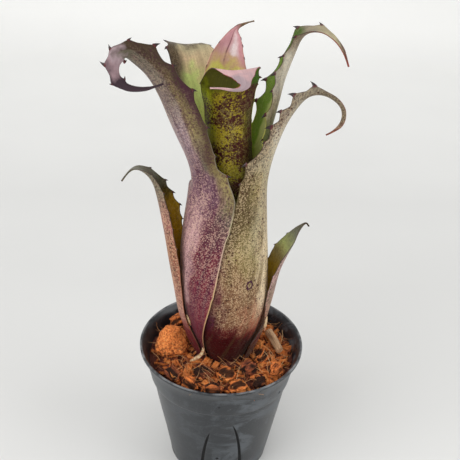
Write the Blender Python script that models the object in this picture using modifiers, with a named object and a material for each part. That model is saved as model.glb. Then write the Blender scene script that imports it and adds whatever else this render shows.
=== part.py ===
"""Hohenbergia: a young tank bromeliad with spiny, channelled leaves rolled into an urn,
growing in a 100 mm nursery pot of coconut husk chips.

Blender 4.5, metres, +Z up.  The pot's base centre is the origin and the plant's front
faces -Y.  Sizes and places below are in millimetres; azimuths are in degrees from +X.
"""

import math
import random

import bmesh
import bpy
import numpy as np
from mathutils import Matrix, Vector, noise

MM = 0.001
OBJECT_NAME = "hohenbergia"
GAP = 0.3

# ---- pot ------------------------------------------------------------------------------
POT_HEIGHT = 85.0
RIM_RADIUS = 50.0
LIP_DEPTH = 2.0
COLLAR_TOP_RADIUS = 46.5
COLLAR_RADIUS = 43.6
COLLAR_DEPTH = 22.0
BODY_TOP_RADIUS = 42.3
BASE_RADIUS = 31.9
WALL = 1.4
FLOOR = 1.6
POT_SEGMENTS = 48
FLUTE_COUNT = 4
FLUTE_DEPTH = 0.6
FLUTE_WIDTH = 25.0
FLUTE_HEIGHT = 58.0
FLUTE_START = 274.0
FLUTE_STEPS = 12
DRAIN_COUNT = 6
DRAIN_RADIUS = 3.2
DRAIN_CIRCLE = 22.0
# how far the cutters reach beyond the plastic: (inner, outer) radius, below and above the body
CUTTER_RADII = (20.0, 48.0)
CUTTER_BELOW = 2.0
CORE_BOTTOM = -3.0
CORE_TOP = 70.0

# ---- potting mix, stem and chips --------------------------------------------------------
MIX_TOP = 77.0
MIX_DIP = 1.3
MIX_RINGS = 6
MIX_RIPPLES_PER_METRE = 120.0
FOOT_CLEARANCE = 0.5
ROOT_BOTTOM = 50.0
ROOT_RADIUS = 9.0
STEM_SHOULDER = 66.0
STEM_TIP = 90.0
STEM_SEGMENTS = 40
CHIP_SEED = 7

# rings of chips on the mix: (radius of the ring, number of places, half length, half width)
CHIP_RINGS = ((26.0, 11, 6.9, 5.6), (38.3, 17, 6.7, 5.5))
CHIP_HEIGHTS = (3.6, 6.6)
CHIP_SKEW = 12.0

# the larger named pieces: (x, y, half length, half width, height, heading)
SPECIAL_CHIPS = {
    "husk_lump": (-30.2, -1.5, 11.4, 11.2, 15.0, 60.0),
    "husk_stick": (33.2, 6.0, 11.5, 3.2, 6.0, -72.0),
}

# ---- plant ------------------------------------------------------------------------------
AXIS_X = 2.0
LEAF_THICKNESS = 1.2
LAYER_PITCH = 1.9
SHEATH_STEP = 12.5
BLADE_ROWS = 21
LEAF_COLUMNS = 8
FRAME_BLEND = 30.0

# outer radius of the urn of rolled sheaths: (height, radius)
URN = (
    (60, 12.2), (66, 12.3), (72, 12.8), (80, 15.2), (86, 17.4), (93, 19.8), (100, 22.0),
    (107, 23.7), (115, 25.0), (124, 25.6), (135, 25.3), (149, 24.5), (162, 23.5),
    (172, 22.8), (181, 22.2), (190, 21.9), (215, 21.9),
)

# Each leaf is a sheath wrapped on the urn and a blade that leaves it.
# layer: how many leaves lie outside it; -1 is outside the urn
# sheath: (height, azimuth of the midrib, half angle of the wrap)
# blade: (x, y, z, half width, radius of the channel, turn about the midrib, slant of the rows)
LEAVES = {
    "leaf_front_left": {
        "layer": 0,
        "color": (0.33, 0.22, 0.23),
        "sheath": ((72, 172, 50), (85, 174.5, 52.5), (97, 178, 55), (110, 182.5, 58.5),
                   (126, 187.5, 60), (138, 192.4, 59.6), (150, 198, 58), (160, 203.5, 57.5),
                   (168, 209, 58), (180, 217.5, 58.5), (190, 221.5, 57.5)),
        "blade": ((-16.4, -13.2, 205, 16.2, 19, -7, 0), (-20.9, -15.8, 219, 14.8, 17.5, -2, 0),
                  (-25.7, -18.3, 234, 13.9, 17, 5.5, 0), (-30.8, -19.6, 247.5, 12.2, 17, 8, 0),
                  (-37.0, -21.4, 259.5, 9.2, 17, 13, 0), (-41.6, -23.4, 265.6, 7.0, 16, 26, 0),
                  (-46.6, -26, 267.6, 5.2, 12, 44, 0), (-49.8, -27.5, 266.8, 4.6, 10, 64, 0),
                  (-51.0, -28.5, 262.4, 4.3, 9, 74, 0), (-50.4, -29, 257.2, 3.8, 8, 74, 0),
                  (-48.0, -29.5, 253.6, 2.7, 7, 64, 0), (-43.0, -30, 252.2, 1.9, 7, 46, 0),
                  (-37.0, -30, 252.6, 1.2, 7, 26, 0), (-30.7, -29, 254.6, 0.6, 7, 0, 0)),
    },
    "leaf_front_right": {
        "layer": 1,
        "color": (0.36, 0.33, 0.22),
        "sheath": ((74, 318, 94), (110, 322, 97), (150, 328, 92), (168, 333, 82),
                   (180, 336.5, 64), (190, 338, 57)),
        "blade": ((22.5, -7, 206, 15.8, 17.5, 0, 0), (25.6, -6, 218, 9.2, 13, 0, 0),
                  (29.6, -4.5, 228, 5.8, 8, 0, 0), (34.9, -3, 236.6, 4.2, 6, 0, 0),
                  (40.5, -1, 242, 3.2, 5, 0, 0), (47, 0, 243.2, 2.5, 5, 0, 0),
                  (54, 0, 240.5, 2.1, 5, 0, 0), (59.3, 0, 234, 1.7, 5, 0, 0),
                  (58.4, 0, 226.5, 1.2, 5, 0, 0), (51.5, 0, 221, 0.6, 5, 0, 0)),
    },
    "leaf_back_left": {
        "layer": 2,
        "color": (0.28, 0.36, 0.18),
        "sheath": ((76, 122, 92), (110, 122, 96), (150, 124, 94), (180, 125, 84), (190, 125, 72)),
        "blade": ((-9.6, 15, 206, 15.5, 17, 0, 0), (-12.5, 18, 223, 16.5, 20, 0, 0),
                  (-17, 22, 241, 17, 26, 0, 0), (-20, 25, 251.5, 15, 40, 0, -4),
                  (-23, 31, 257, 11.5, 60, 0, -6), (-26, 38, 256, 8, 40, 0, 0),
                  (-28, 43, 249, 4.5, 20, 0, 0), (-28, 44, 240, 2, 15, 0, 0),
                  (-26, 42, 233, 0.7, 10, 0, 0)),
    },
    "leaf_right": {
        "layer": 3,
        "color": (0.22, 0.36, 0.12),
        "sheath": ((78, 22, 88), (110, 22, 92), (150, 22, 92), (180, 22, 80), (190, 22, 64)),
        "blade": ((18.6, 6.3, 206, 12.5, 14.2, -1, 0), (21.9, 6.0, 222, 12.4, 12.0, -8, 0),
                  (25.8, 6.0, 238, 11.0, 10, -14, 0), (29.1, 5.6, 252, 9.2, 8, -24, 0),
                  (33.2, 5.0, 265, 7.6, 7.5, -28, 0), (37, 6.4, 271.5, 5.2, 8, -17, 0),
                  (43.5, 6.4, 273.5, 3.3, 9, -6, 0), (51, 5, 270.5, 2.2, 9, 0, 0),
                  (57, 4, 263.5, 1.4, 9, 0, 0), (60, 4, 256.5, 0.6, 9, 0, 0)),
    },
    "leaf_inner_front": {
        "layer": 4,
        "color": (0.34, 0.29, 0.08),
        "sheath": ((82, 262, 100), (110, 263, 100), (150, 264, 96), (180, 265, 88), (196, 266, 84)),
        "blade": ((0.5, -12.8, 212, 16.5, 12.5, 0, 0), (-0.3, -12.9, 226, 15.5, 12.6, 0, 4),
                  (-0.6, -13.5, 238, 15.3, 14.5, 0, 10), (0.2, -15.2, 247, 15.5, 20, 6, 18),
                  (1.8, -16.4, 254.5, 14.2, 34, 16, 14), (4.2, -18, 258.8, 10.6, 60, 40, 6),
                  (5.6, -21.4, 258.6, 7.2, 70, 54, 2), (6.6, -25, 257, 4.3, 60, 48, 0),
                  (6.8, -28.8, 254.4, 1.9, 40, 46, 0), (2.5, -30.8, 253.4, 1.2, 15, 0, 0),
                  (-3, -31, 253.9, 0.8, 12, 0, 0), (-9, -31, 253.9, 0.5, 12, 0, 0)),
    },
    "leaf_heart": {
        "layer": 5,
        "color": (0.62, 0.44, 0.40),
        "sheath": ((86, 100, 105), (110, 98, 105), (150, 96, 100), (180, 95, 95), (190, 94, 93)),
        "blade": ((0.4, 11.2, 203, 17.6, 11.4, 0, 0), (0.5, 9.9, 215, 16.3, 10.2, 0, 0),
                  (-0.8, 10.4, 230, 16.8, 11, 0, 0), (-2.8, 10.8, 245, 15.8, 11.6, 0, 0),
                  (-2.4, 10.6, 254, 13.4, 10.5, 0, 0), (-0.8, 10, 262, 9.4, 8.5, 0, 0),
                  (0.4, 9.6, 266, 6.2, 7, 0, 0), (1.2, 9.3, 269.5, 3.7, 6, 0, 0),
                  (2.6, 9, 272.8, 1.3, 5, 0, 0), (6.1, 9, 274.9, 0.8, 5, 0, 0),
                  (11.4, 9, 276.6, 0.5, 5, 0, 0)),
    },
    "leaf_basal_left": {
        "layer": -1,
        "color": (0.42, 0.28, 0.20),
        "sheath": ((70, 196, 26), (84, 195, 26), (94, 193, 27)),
        "blade": ((-25.1, -5.2, 108, 9.6, 15, -3, 0), (-28.6, -4.2, 128, 11, 12, -11, 0),
                  (-31.5, -3.0, 148, 12.7, 9.5, -20, 0), (-34.4, -1.5, 168, 12.6, 9, -24, 0),
                  (-37.8, -0.5, 184, 9.6, 8.5, -15, 0), (-42.3, 0, 194.5, 6.2, 8, -6, 0),
                  (-48.8, -0.5, 198.5, 3.4, 8, 0, 0), (-57, -1, 191, 0.6, 8, 0, 0)),
    },
    "leaf_basal_right": {
        "layer": -1,
        "color": (0.36, 0.30, 0.14),
        "sheath": ((70, 352, 40), (84, 354, 40), (94, 355, 40)),
        "blade": ((26.8, -1.5, 106, 9.3, 21, 1, 0), (29.8, -0.5, 121, 10.6, 12, 3, 0),
                  (31.9, 0, 136, 10.8, 11, 11, 0), (35.2, 0.5, 148, 9, 10, 18, 0),
                  (39.6, 1, 158.5, 5.2, 10, 18, 0), (43.0, 1, 165.4, 1.9, 8, 18, 0),
                  (45.8, 1, 167.6, 0.9, 8, 18, 0), (47.4, 1, 165.6, 0.5, 8, 18, 0)),
    },
}


# ---- curves through keys ------------------------------------------------------------------
def eased(keys, values, at):
    """Monotone cubic through (keys, values): no overshoot between two keys."""
    keys = np.asarray(keys, float)
    values = np.asarray(values, float)
    at = np.clip(at, keys[0], keys[-1])
    step = np.diff(keys)
    slope = np.diff(values) / step
    tangent = np.zeros(len(keys))
    tangent[0], tangent[-1] = slope[0], slope[-1]
    for i in range(1, len(keys) - 1):
        if slope[i - 1] * slope[i] > 0.0:
            before = 2 * step[i] + step[i - 1]
            after = step[i] + 2 * step[i - 1]
            tangent[i] = (before + after) / (before / slope[i - 1] + after / slope[i])
    span = np.clip(np.searchsorted(keys, at, side="right") - 1, 0, len(step) - 1)
    return hermite(values, tangent, step[span], (at - keys[span]) / step[span], span)


def hermite(values, tangent, step, t, span):
    return ((1 + 2 * t) * (1 - t) ** 2 * values[span] + t * (1 - t) ** 2 * step * tangent[span]
            + t * t * (3 - 2 * t) * values[span + 1] + t * t * (t - 1) * step * tangent[span + 1])


def smooth_path(length, points, start_tangent, at):
    """Cubic spline through 3-D points: its start direction is given, its end is free."""
    count = len(length)
    step = np.diff(length)
    system = np.zeros((count, count))
    right = np.zeros((count, 3))
    system[0, 0] = 1.0
    right[0] = start_tangent
    for i in range(1, count - 1):
        system[i, i - 1:i + 2] = step[i], 2 * (step[i] + step[i - 1]), step[i - 1]
        right[i] = 3 * (step[i] * (points[i] - points[i - 1]) / step[i - 1]
                        + step[i - 1] * (points[i + 1] - points[i]) / step[i])
    system[-1, -2:] = 1.0, 2.0
    right[-1] = 3 * (points[-1] - points[-2]) / step[-1]
    tangent = np.linalg.solve(system, right)
    span = np.clip(np.searchsorted(length, at, side="right") - 1, 0, count - 2)
    t = ((at - length[span]) / step[span])[:, None]
    return hermite(points, tangent, step[span][:, None], t, span)


def unit(vectors):
    return vectors / np.linalg.norm(vectors, axis=-1, keepdims=True)


def urn_radius(height, layer):
    heights, radii = zip(*URN)
    return eased(heights, radii, height) - layer * LAYER_PITCH


# ---- leaves -------------------------------------------------------------------------------
def leaf_frames(spec):
    """Midrib points with the outward and sideways directions and the size of each row."""
    sheath = np.array(spec["sheath"], float)
    rows = max(4, round((sheath[-1, 0] - sheath[0, 0]) / SHEATH_STEP) + 1)
    height = np.linspace(sheath[0, 0], sheath[-1, 0], rows)
    azimuth = np.radians(eased(sheath[:, 0], sheath[:, 1], height))
    wrap = np.radians(eased(sheath[:, 0], sheath[:, 2], height))
    radius = urn_radius(height, spec["layer"])
    flat = np.zeros_like(azimuth)
    outward = np.stack([np.cos(azimuth), np.sin(azimuth), flat], -1)
    sideways = np.stack([-np.sin(azimuth), np.cos(azimuth), flat], -1)
    midrib = outward * radius[:, None]
    midrib[:, 0] += AXIS_X
    midrib[:, 2] = height

    keys = np.vstack([[*midrib[-1], radius[-1] * wrap[-1], radius[-1], 0, 0], spec["blade"]])
    reach = np.linalg.norm(np.diff(keys[:, :3], axis=0), axis=1)
    length = np.concatenate([[0.0], np.cumsum(reach)])
    along = np.linspace(0.0, length[-1], BLADE_ROWS + 1)[1:]
    start = unit(midrib[-1] - midrib[-2])
    midrib = np.vstack([midrib, smooth_path(length, keys[:, :3], start, along)])
    half_width = np.concatenate([radius * wrap, eased(length, keys[:, 3], along)])
    bend = np.concatenate([1 / radius, eased(length, 1 / keys[:, 4], along)])
    turn = np.radians(np.concatenate([flat, eased(length, keys[:, 5], along)]))[:, None]
    slant = np.radians(np.concatenate([flat, eased(length, keys[:, 6], along)]))[:, None]

    tangent = unit(np.gradient(midrib, axis=0))
    outward, sideways = carried_frames(tangent, outward, sideways, along)
    turned_out = outward * np.cos(turn) + sideways * np.sin(turn)
    turned_side = sideways * np.cos(turn) - outward * np.sin(turn)
    turned_side = turned_side * np.cos(slant) + tangent * np.sin(slant)
    return midrib, turned_out, turned_side, half_width, bend


def carried_frames(tangent, outward, sideways, along):
    """Carry the last sheath frame along the blade and square it to the midrib."""
    outward, sideways = list(outward), list(sideways)
    out, side = outward[-1], sideways[-1]
    for i, distance in enumerate(along, start=len(outward)):
        axis = np.cross(tangent[i - 1], tangent[i])
        cosine = tangent[i - 1] @ tangent[i]
        out = out * cosine + np.cross(axis, out) + axis * (axis @ out) / (1 + cosine)
        side = side * cosine + np.cross(axis, side) + axis * (axis @ side) / (1 + cosine)
        square_out = unit(out - (out @ tangent[i]) * tangent[i])
        square_side = np.cross(tangent[i], square_out)
        square_side = square_side if square_side @ side > 0 else -square_side
        weight = min(distance / FRAME_BLEND, 1.0)
        weight = weight * weight * (3 - 2 * weight)
        outward.append(unit((1 - weight) * out + weight * square_out))
        sideways.append(unit((1 - weight) * side + weight * square_side))
    return np.array(outward), np.array(sideways)


def leaf_surface(spec):
    """Grid of points: each row is an arc across the leaf, hollow side inwards."""
    midrib, outward, sideways, half_width, bend = leaf_frames(spec)
    across = np.linspace(-1.0, 1.0, LEAF_COLUMNS + 1)
    arc = across[None, :] * half_width[:, None]
    bend = bend[:, None]
    lateral = (np.sin(bend * arc) / bend)[..., None]
    depth = ((1 - np.cos(bend * arc)) / bend)[..., None]
    return midrib[:, None] + sideways[:, None] * lateral - outward[:, None] * depth


def add_leaf(name, spec, collection):
    grid = leaf_surface(spec)
    rows, columns = grid.shape[:2]
    faces = []
    for row in range(rows - 1):
        for column in range(columns - 1):
            corner = row * columns + column
            faces.append((corner, corner + 1, corner + columns + 1, corner + columns))
    leaf = add_mesh(name, grid.reshape(-1, 3) * MM, faces, collection)
    solidify = leaf.modifiers.new("thickness", "SOLIDIFY")
    solidify.thickness = LEAF_THICKNESS * MM
    solidify.offset = 0.0
    shade_smooth(leaf, 40)
    leaf.data.materials.append(material(name, spec["color"], 0.55))
    return leaf


# ---- shared helpers -----------------------------------------------------------------------
def clear_scene():
    for old in list(bpy.data.objects):
        bpy.data.objects.remove(old, do_unlink=True)


def new_collection(name):
    collection = bpy.data.collections.new(name)
    bpy.context.scene.collection.children.link(collection)
    return collection


def material(name, color, roughness):
    made = bpy.data.materials.new(name)
    made.use_nodes = True
    shader = made.node_tree.nodes["Principled BSDF"]
    shader.inputs["Base Color"].default_value = (*color, 1.0)
    shader.inputs["Roughness"].default_value = roughness
    shader.inputs["Metallic"].default_value = 0.0
    return made


def add_mesh(name, points, faces, collection):
    mesh = bpy.data.meshes.new(name)
    mesh.from_pydata([tuple(point) for point in points], [], faces)
    mesh.update()
    made = bpy.data.objects.new(name, mesh)
    collection.objects.link(made)
    return made


def shade_smooth(made, degrees):
    made.data.shade_smooth()
    made.data.set_sharp_from_angle(angle=math.radians(degrees))


def add_turned(name, profile, segments, collection):
    """Turn a (radius, height) profile that runs down its outer side round the Z axis."""
    points = [(radius * MM, 0.0, height * MM) for radius, height in profile]
    edges = [(i, i + 1) for i in range(len(points) - 1)]
    mesh = bpy.data.meshes.new(name)
    mesh.from_pydata(points, edges, [])
    made = bpy.data.objects.new(name, mesh)
    collection.objects.link(made)
    screw = made.modifiers.new("turn", "SCREW")
    screw.steps = segments
    screw.render_steps = segments
    screw.use_merge_vertices = True
    screw.merge_threshold = 0.00001
    screw.use_smooth_shade = True
    return made


def freeze(made):
    """Replace an object's mesh with its evaluated one, without modifiers."""
    graph = bpy.context.evaluated_depsgraph_get()
    mesh = bpy.data.meshes.new_from_object(made.evaluated_get(graph))
    made.modifiers.clear()
    made.data = mesh
    return made


def cut(target, cutter):
    cutter.hide_render = True
    cutter.display_type = "WIRE"
    boolean = target.modifiers.new("cut " + cutter.name, "BOOLEAN")
    boolean.operation = "DIFFERENCE"
    boolean.solver = "EXACT"
    boolean.object = cutter


# ---- pot ------------------------------------------------------------------------------------
def pot_outer():
    """Outer profile of the pot, from the top of the rim down to the edge of the base."""
    return [
        (RIM_RADIUS, POT_HEIGHT),
        (RIM_RADIUS, POT_HEIGHT - LIP_DEPTH),
        (RIM_RADIUS - 1.5, POT_HEIGHT - LIP_DEPTH - 0.5),
        (COLLAR_TOP_RADIUS, POT_HEIGHT - 8),
        (COLLAR_RADIUS, POT_HEIGHT - COLLAR_DEPTH),
        (BODY_TOP_RADIUS, POT_HEIGHT - COLLAR_DEPTH - 1),
        (BASE_RADIUS, 0.0),
    ]


def pot_inner():
    """Inner profile of the pot, from the edge of the floor up to the rim."""
    body_height = POT_HEIGHT - COLLAR_DEPTH - 1
    taper = (BODY_TOP_RADIUS - BASE_RADIUS) / body_height
    wall = [(radius - WALL, height) for radius, height in reversed(pot_outer()[2:6])]
    return [(BASE_RADIUS + taper * FLOOR - WALL, FLOOR)] + wall + [(RIM_RADIUS - WALL, POT_HEIGHT)]


def inner_wall_radius(height):
    radii, heights = zip(*pot_inner())
    return float(np.interp(height, heights, radii))


def body_radius(height):
    return BASE_RADIUS + (BODY_TOP_RADIUS - BASE_RADIUS) * height / (POT_HEIGHT - COLLAR_DEPTH - 1)


def add_flute_cutter(index, core, cutters):
    """Arch-shaped block that reaches FLUTE_DEPTH into the wall of the pot's body."""
    arch = []
    for step in range(FLUTE_STEPS + 1):
        angle = math.pi * step / FLUTE_STEPS
        arch.append((FLUTE_WIDTH / 2 * math.cos(angle), FLUTE_HEIGHT * math.sin(angle)))
    arch = [(FLUTE_WIDTH / 2, -CUTTER_BELOW)] + arch + [(-FLUTE_WIDTH / 2, -CUTTER_BELOW)]
    turn = Matrix.Rotation(math.radians(FLUTE_START + index * 360 / FLUTE_COUNT), 4, "Z")
    points = [turn @ Vector((depth, side, height)) * MM
              for depth in CUTTER_RADII for side, height in arch]
    count = len(arch)
    faces = [tuple(range(count))[::-1], tuple(range(count, 2 * count))]
    faces += [(i, (i + 1) % count, count + (i + 1) % count, count + i) for i in range(count)]
    block = add_mesh(f"flute_cutter_{index + 1}", points, faces, cutters)
    cut(block, core)
    freeze(block)
    return block


def add_drain_cutter(index, cutters):
    angle = math.radians(FLUTE_START + (index + 0.5) * 360 / DRAIN_COUNT)
    place = (DRAIN_CIRCLE * math.cos(angle) * MM, DRAIN_CIRCLE * math.sin(angle) * MM, 0.0)
    drill = bmesh.new()
    bmesh.ops.create_cone(drill, cap_ends=True, segments=16, radius1=DRAIN_RADIUS * MM,
                          radius2=DRAIN_RADIUS * MM, depth=4 * FLOOR * MM,
                          matrix=Matrix.Translation(place))
    mesh = bpy.data.meshes.new(f"drain_cutter_{index + 1}")
    drill.to_mesh(mesh)
    drill.free()
    cutter = bpy.data.objects.new(mesh.name, mesh)
    cutters.objects.link(cutter)
    return cutter


def add_pot(collection, cutters):
    profile = [(0.0, FLOOR)] + pot_inner() + pot_outer() + [(0.0, 0.0)]
    pot = add_turned("nursery_pot", profile, POT_SEGMENTS, collection)
    core_profile = [(0.0, CORE_TOP), (body_radius(CORE_TOP) - FLUTE_DEPTH, CORE_TOP),
                    (body_radius(CORE_BOTTOM) - FLUTE_DEPTH, CORE_BOTTOM), (0.0, CORE_BOTTOM)]
    core = add_turned("flute_core", core_profile, POT_SEGMENTS, cutters)
    core.hide_render = True
    core.display_type = "WIRE"
    for index in range(FLUTE_COUNT):
        cut(pot, add_flute_cutter(index, core, cutters))
    for index in range(DRAIN_COUNT):
        cut(pot, add_drain_cutter(index, cutters))
    pot.data.materials.append(material("pot_plastic", (0.035, 0.042, 0.050), 0.35))
    return pot


# ---- stem and potting mix -------------------------------------------------------------------
def stem_profile():
    """The short stem steps in by one leaf base at each leaf's foot."""
    feet = sorted({(spec["sheath"][0][0], -spec["layer"]) for spec in LEAVES.values()})
    steps = [(float(urn_radius(height, -layer)) - LEAF_THICKNESS / 2 - GAP, height)
             for height, layer in feet]
    widest = steps[0][0]
    base = [(widest, STEM_SHOULDER), (ROOT_RADIUS, ROOT_BOTTOM), (0.0, ROOT_BOTTOM)]
    return [(0.0, STEM_TIP), (steps[-1][0] * 0.6, STEM_TIP - 1.0)] + steps[::-1] + base


def add_stem(collection):
    stem = add_turned("stem", stem_profile(), STEM_SEGMENTS, collection)
    stem.location.x = AXIS_X * MM
    stem.data.materials.append(material("stem_flesh", (0.20, 0.12, 0.08), 0.7))
    return stem


def add_socket(cutters):
    """The space that the plant's foot takes in the mix."""
    profile = []
    for height in (MIX_TOP + 3.0, MIX_TOP, 72.0, 68.0):
        foot_outside = float(urn_radius(height, -1)) + LEAF_THICKNESS / 2
        profile.append((foot_outside + FOOT_CLEARANCE, height))
    stem_base = stem_profile()[-3][0]
    bottom = ROOT_BOTTOM - GAP
    profile += [(stem_base + GAP, STEM_SHOULDER), (ROOT_RADIUS + GAP, bottom), (0.0, bottom)]
    socket = add_turned("socket", [(0.0, profile[0][1])] + profile, STEM_SEGMENTS, cutters)
    socket.location.x = AXIS_X * MM
    return socket


def add_potting_mix(collection, cutters):
    wall = [(radius - GAP, height) for radius, height in pot_inner()[2::-1]]
    base_radius, base_height = wall.pop()
    edge = inner_wall_radius(MIX_TOP) - GAP
    top = [(edge * step / MIX_RINGS, MIX_TOP) for step in range(MIX_RINGS + 1)]
    base = [(base_radius, base_height + GAP), (0.0, base_height + GAP)]
    mix = add_turned("potting_mix", top + wall + base, POT_SEGMENTS, collection)
    cut(mix, add_socket(cutters))
    freeze(mix)
    for vertex in mix.data.vertices:
        on_top = vertex.co.z > (MIX_TOP - 0.01) * MM
        if on_top and vertex.co.xy.length < (edge - 0.1) * MM:
            ripple = noise.noise(vertex.co * MIX_RIPPLES_PER_METRE)
            vertex.co.z -= MIX_DIP * MM * (0.5 + 0.5 * ripple)
    mix.data.materials.append(material("husk_mix", (0.10, 0.045, 0.025), 0.95))
    return mix


# ---- husk chips -------------------------------------------------------------------------------
def add_chip(name, x, y, half_length, half_width, height, heading, dice, collection):
    """A broken piece of husk: the hull of four uneven rings on a flat underside."""
    points = []
    for share, size in ((0.0, 0.86), (0.3, 1.0), (0.72, 0.86), (1.0, 0.45)):
        offset = dice.uniform(0.0, math.tau / 8)
        for corner in range(8):
            angle = offset + math.tau * corner / 8
            reach = size * dice.uniform(0.84, 1.0)
            rise = height * share * (dice.uniform(0.85, 1.0) if share else 1.0)
            points.append((half_length * reach * math.cos(angle),
                           half_width * reach * math.sin(angle), rise))
    place = (Matrix.Translation((x * MM, y * MM, (MIX_TOP + GAP) * MM))
             @ Matrix.Rotation(math.radians(heading), 4, "Z"))
    shell = bmesh.new()
    corners = [shell.verts.new(place @ (Vector(point) * MM)) for point in points]
    hull = bmesh.ops.convex_hull(shell, input=corners)
    spare = [item for item in hull["geom_interior"] if isinstance(item, bmesh.types.BMVert)]
    bmesh.ops.delete(shell, geom=spare, context="VERTS")
    mesh = bpy.data.meshes.new(name)
    shell.to_mesh(mesh)
    shell.free()
    chip = bpy.data.objects.new(name, mesh)
    collection.objects.link(chip)
    return chip


def add_chips(collection):
    dice = random.Random(CHIP_SEED)
    husk = material("husk_chip", (0.42, 0.16, 0.06), 0.9)
    chips = []
    for name, place in SPECIAL_CHIPS.items():
        chips.append(add_chip(name, *place, dice, collection))
    number = 0
    for ring_radius, places, length, width in CHIP_RINGS:
        for place in range(places):
            angle = math.tau * (place + 0.5 * (places % 2)) / places
            x, y = ring_radius * math.cos(angle), ring_radius * math.sin(angle)
            half_length = length * dice.uniform(0.86, 1.0)
            half_width = width * dice.uniform(0.78, 1.0)
            height = dice.uniform(*CHIP_HEIGHTS)
            heading = math.degrees(angle) + 90.0 + dice.uniform(-CHIP_SKEW, CHIP_SKEW)
            if any(crowds(x, y, (length + width) / 2, special) for special in SPECIAL_CHIPS.values()):
                continue
            number += 1
            chips.append(add_chip(f"husk_chip_{number:02d}", x, y, half_length, half_width,
                                  height, heading, dice, collection))
    for chip in chips:
        chip.data.materials.append(husk)
    return chips


def crowds(x, y, room, special):
    """Whether a round place of this room would touch a special chip."""
    centre_x, centre_y, half_length, half_width, _height, heading = special
    angle = math.radians(heading)
    along = (x - centre_x) * math.cos(angle) + (y - centre_y) * math.sin(angle)
    across = (y - centre_y) * math.cos(angle) - (x - centre_x) * math.sin(angle)
    beyond = max(abs(along) - (half_length - half_width), 0.0)
    return math.hypot(beyond, across) < half_width + room + GAP


def main():
    clear_scene()
    parts = new_collection(OBJECT_NAME)
    cutters = new_collection(OBJECT_NAME + "_cutters")
    add_pot(parts, cutters)
    add_potting_mix(parts, cutters)
    add_stem(parts)
    add_chips(parts)
    for name, spec in LEAVES.items():
        add_leaf(name, spec, parts)


main()
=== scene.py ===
"""Hohenbergia, a young tank bromeliad in its nursery pot of coconut husk chips.

Laid out as a Blender add-on and run as a script.  Each operator builds one piece or one
group of like pieces round the fixed frame; the tables are in millimetres.
"""

import math
import random

import bmesh
import bpy
import numpy as np
from bpy.props import FloatProperty, FloatVectorProperty, IntProperty, PointerProperty
from mathutils import Matrix, Vector, noise


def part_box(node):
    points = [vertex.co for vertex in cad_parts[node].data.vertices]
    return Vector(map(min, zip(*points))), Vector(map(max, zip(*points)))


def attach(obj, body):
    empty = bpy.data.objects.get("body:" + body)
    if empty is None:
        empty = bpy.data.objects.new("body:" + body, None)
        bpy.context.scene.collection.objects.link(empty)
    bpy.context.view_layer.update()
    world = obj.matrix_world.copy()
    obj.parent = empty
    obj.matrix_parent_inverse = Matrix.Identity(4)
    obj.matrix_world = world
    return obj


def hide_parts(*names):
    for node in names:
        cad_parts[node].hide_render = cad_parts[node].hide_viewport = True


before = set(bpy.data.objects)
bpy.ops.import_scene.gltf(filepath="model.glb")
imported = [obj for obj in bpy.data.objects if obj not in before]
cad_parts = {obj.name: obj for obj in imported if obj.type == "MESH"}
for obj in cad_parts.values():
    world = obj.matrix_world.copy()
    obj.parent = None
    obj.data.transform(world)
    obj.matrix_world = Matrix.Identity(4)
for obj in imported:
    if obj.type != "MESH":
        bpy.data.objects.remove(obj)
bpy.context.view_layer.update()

bl_info = {
    "name": "Hohenbergia in a Nursery Pot",
    "version": (1, 0, 0),
    "blender": (4, 5, 0),
    "location": "3D View > Sidebar > Hohenbergia",
    "description": "Builds a potted tank bromeliad with spiny leaves in husk chips",
    "category": "Add Mesh",
}

MM = 0.001
BODY = "root"
POT_LOW, POT_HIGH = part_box("nursery_pot")
POT_HEIGHT = POT_HIGH.z / MM
RIM_RADIUS = (POT_HIGH.x - POT_LOW.x) / 2 / MM
MIX_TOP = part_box("potting_mix")[1].z / MM
CHIP_NODES = sorted(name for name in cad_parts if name.startswith("husk_"))

# ---- pot, below its rim -----------------------------------------------------------------------
COLLAR_TOP_RADIUS = 46.5
COLLAR_RADIUS = 43.6
COLLAR_DEPTH = 22.0
BODY_TOP_RADIUS = 42.3
BASE_RADIUS = 31.9
FLOOR = 1.6
WALL = 1.4
# lip of the rim: (distance in from its edge, distance down from its top)
LIP = ((1.25, 0.4), (1.0, 0.08), (0.6, 0), (0.2, 0.12), (0, 0.5), (0, 1.7), (0.3, 2.1), (1.2, 2.5))
FLUTE_COUNT = 4
FLUTE_WIDTH = 25.0
FLUTE_HEIGHT = 58.0
FLUTE_START = 274.0
FLUTE_RECESS = 0.45
LOW_FLANK = 0.86  # share of the height where the groove on a flute's left flank starts
DRAIN_COUNT = 6
DRAIN_CIRCLE = 22.0
DRAIN_RADIUS = 3.2
POT_CREASE = 42  # steeper edges stay sharp, in degrees

# ---- husk --------------------------------------------------------------------------------------
MIX_GAP = 0.3  # between the mix and the pot
MIX_RINGS = 56
MIX_STEPS = 200
MIX_SIDE = (66.0, 64.0, 62.0, 30.0, 4.0)  # heights of the rings down its side
MIX_FOOT = 30.0  # radius of its underside
MIX_SINKS = (34.0, 45.0, 2.6)  # it sinks towards the wall between these radii, by this much
LITTER_PATCH = (42.5, 14, 72, 0.6)  # outer radius, rings, steps, height above the mix
FIBRE_PATCH = (42.0, 10, 60, 2.5)
BARE_MIDDLE = 16.5  # no litter nearer to the plant
LUMP_KNOBS = 2.6  # how far the lump's knobs stand out
LUMP_TONE = 0.70
PAPER = 0.00035  # thickness of the dry bits, in metres
RED_TONE = (0.42, 0.30)  # chips below these tones turn ruddy

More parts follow.
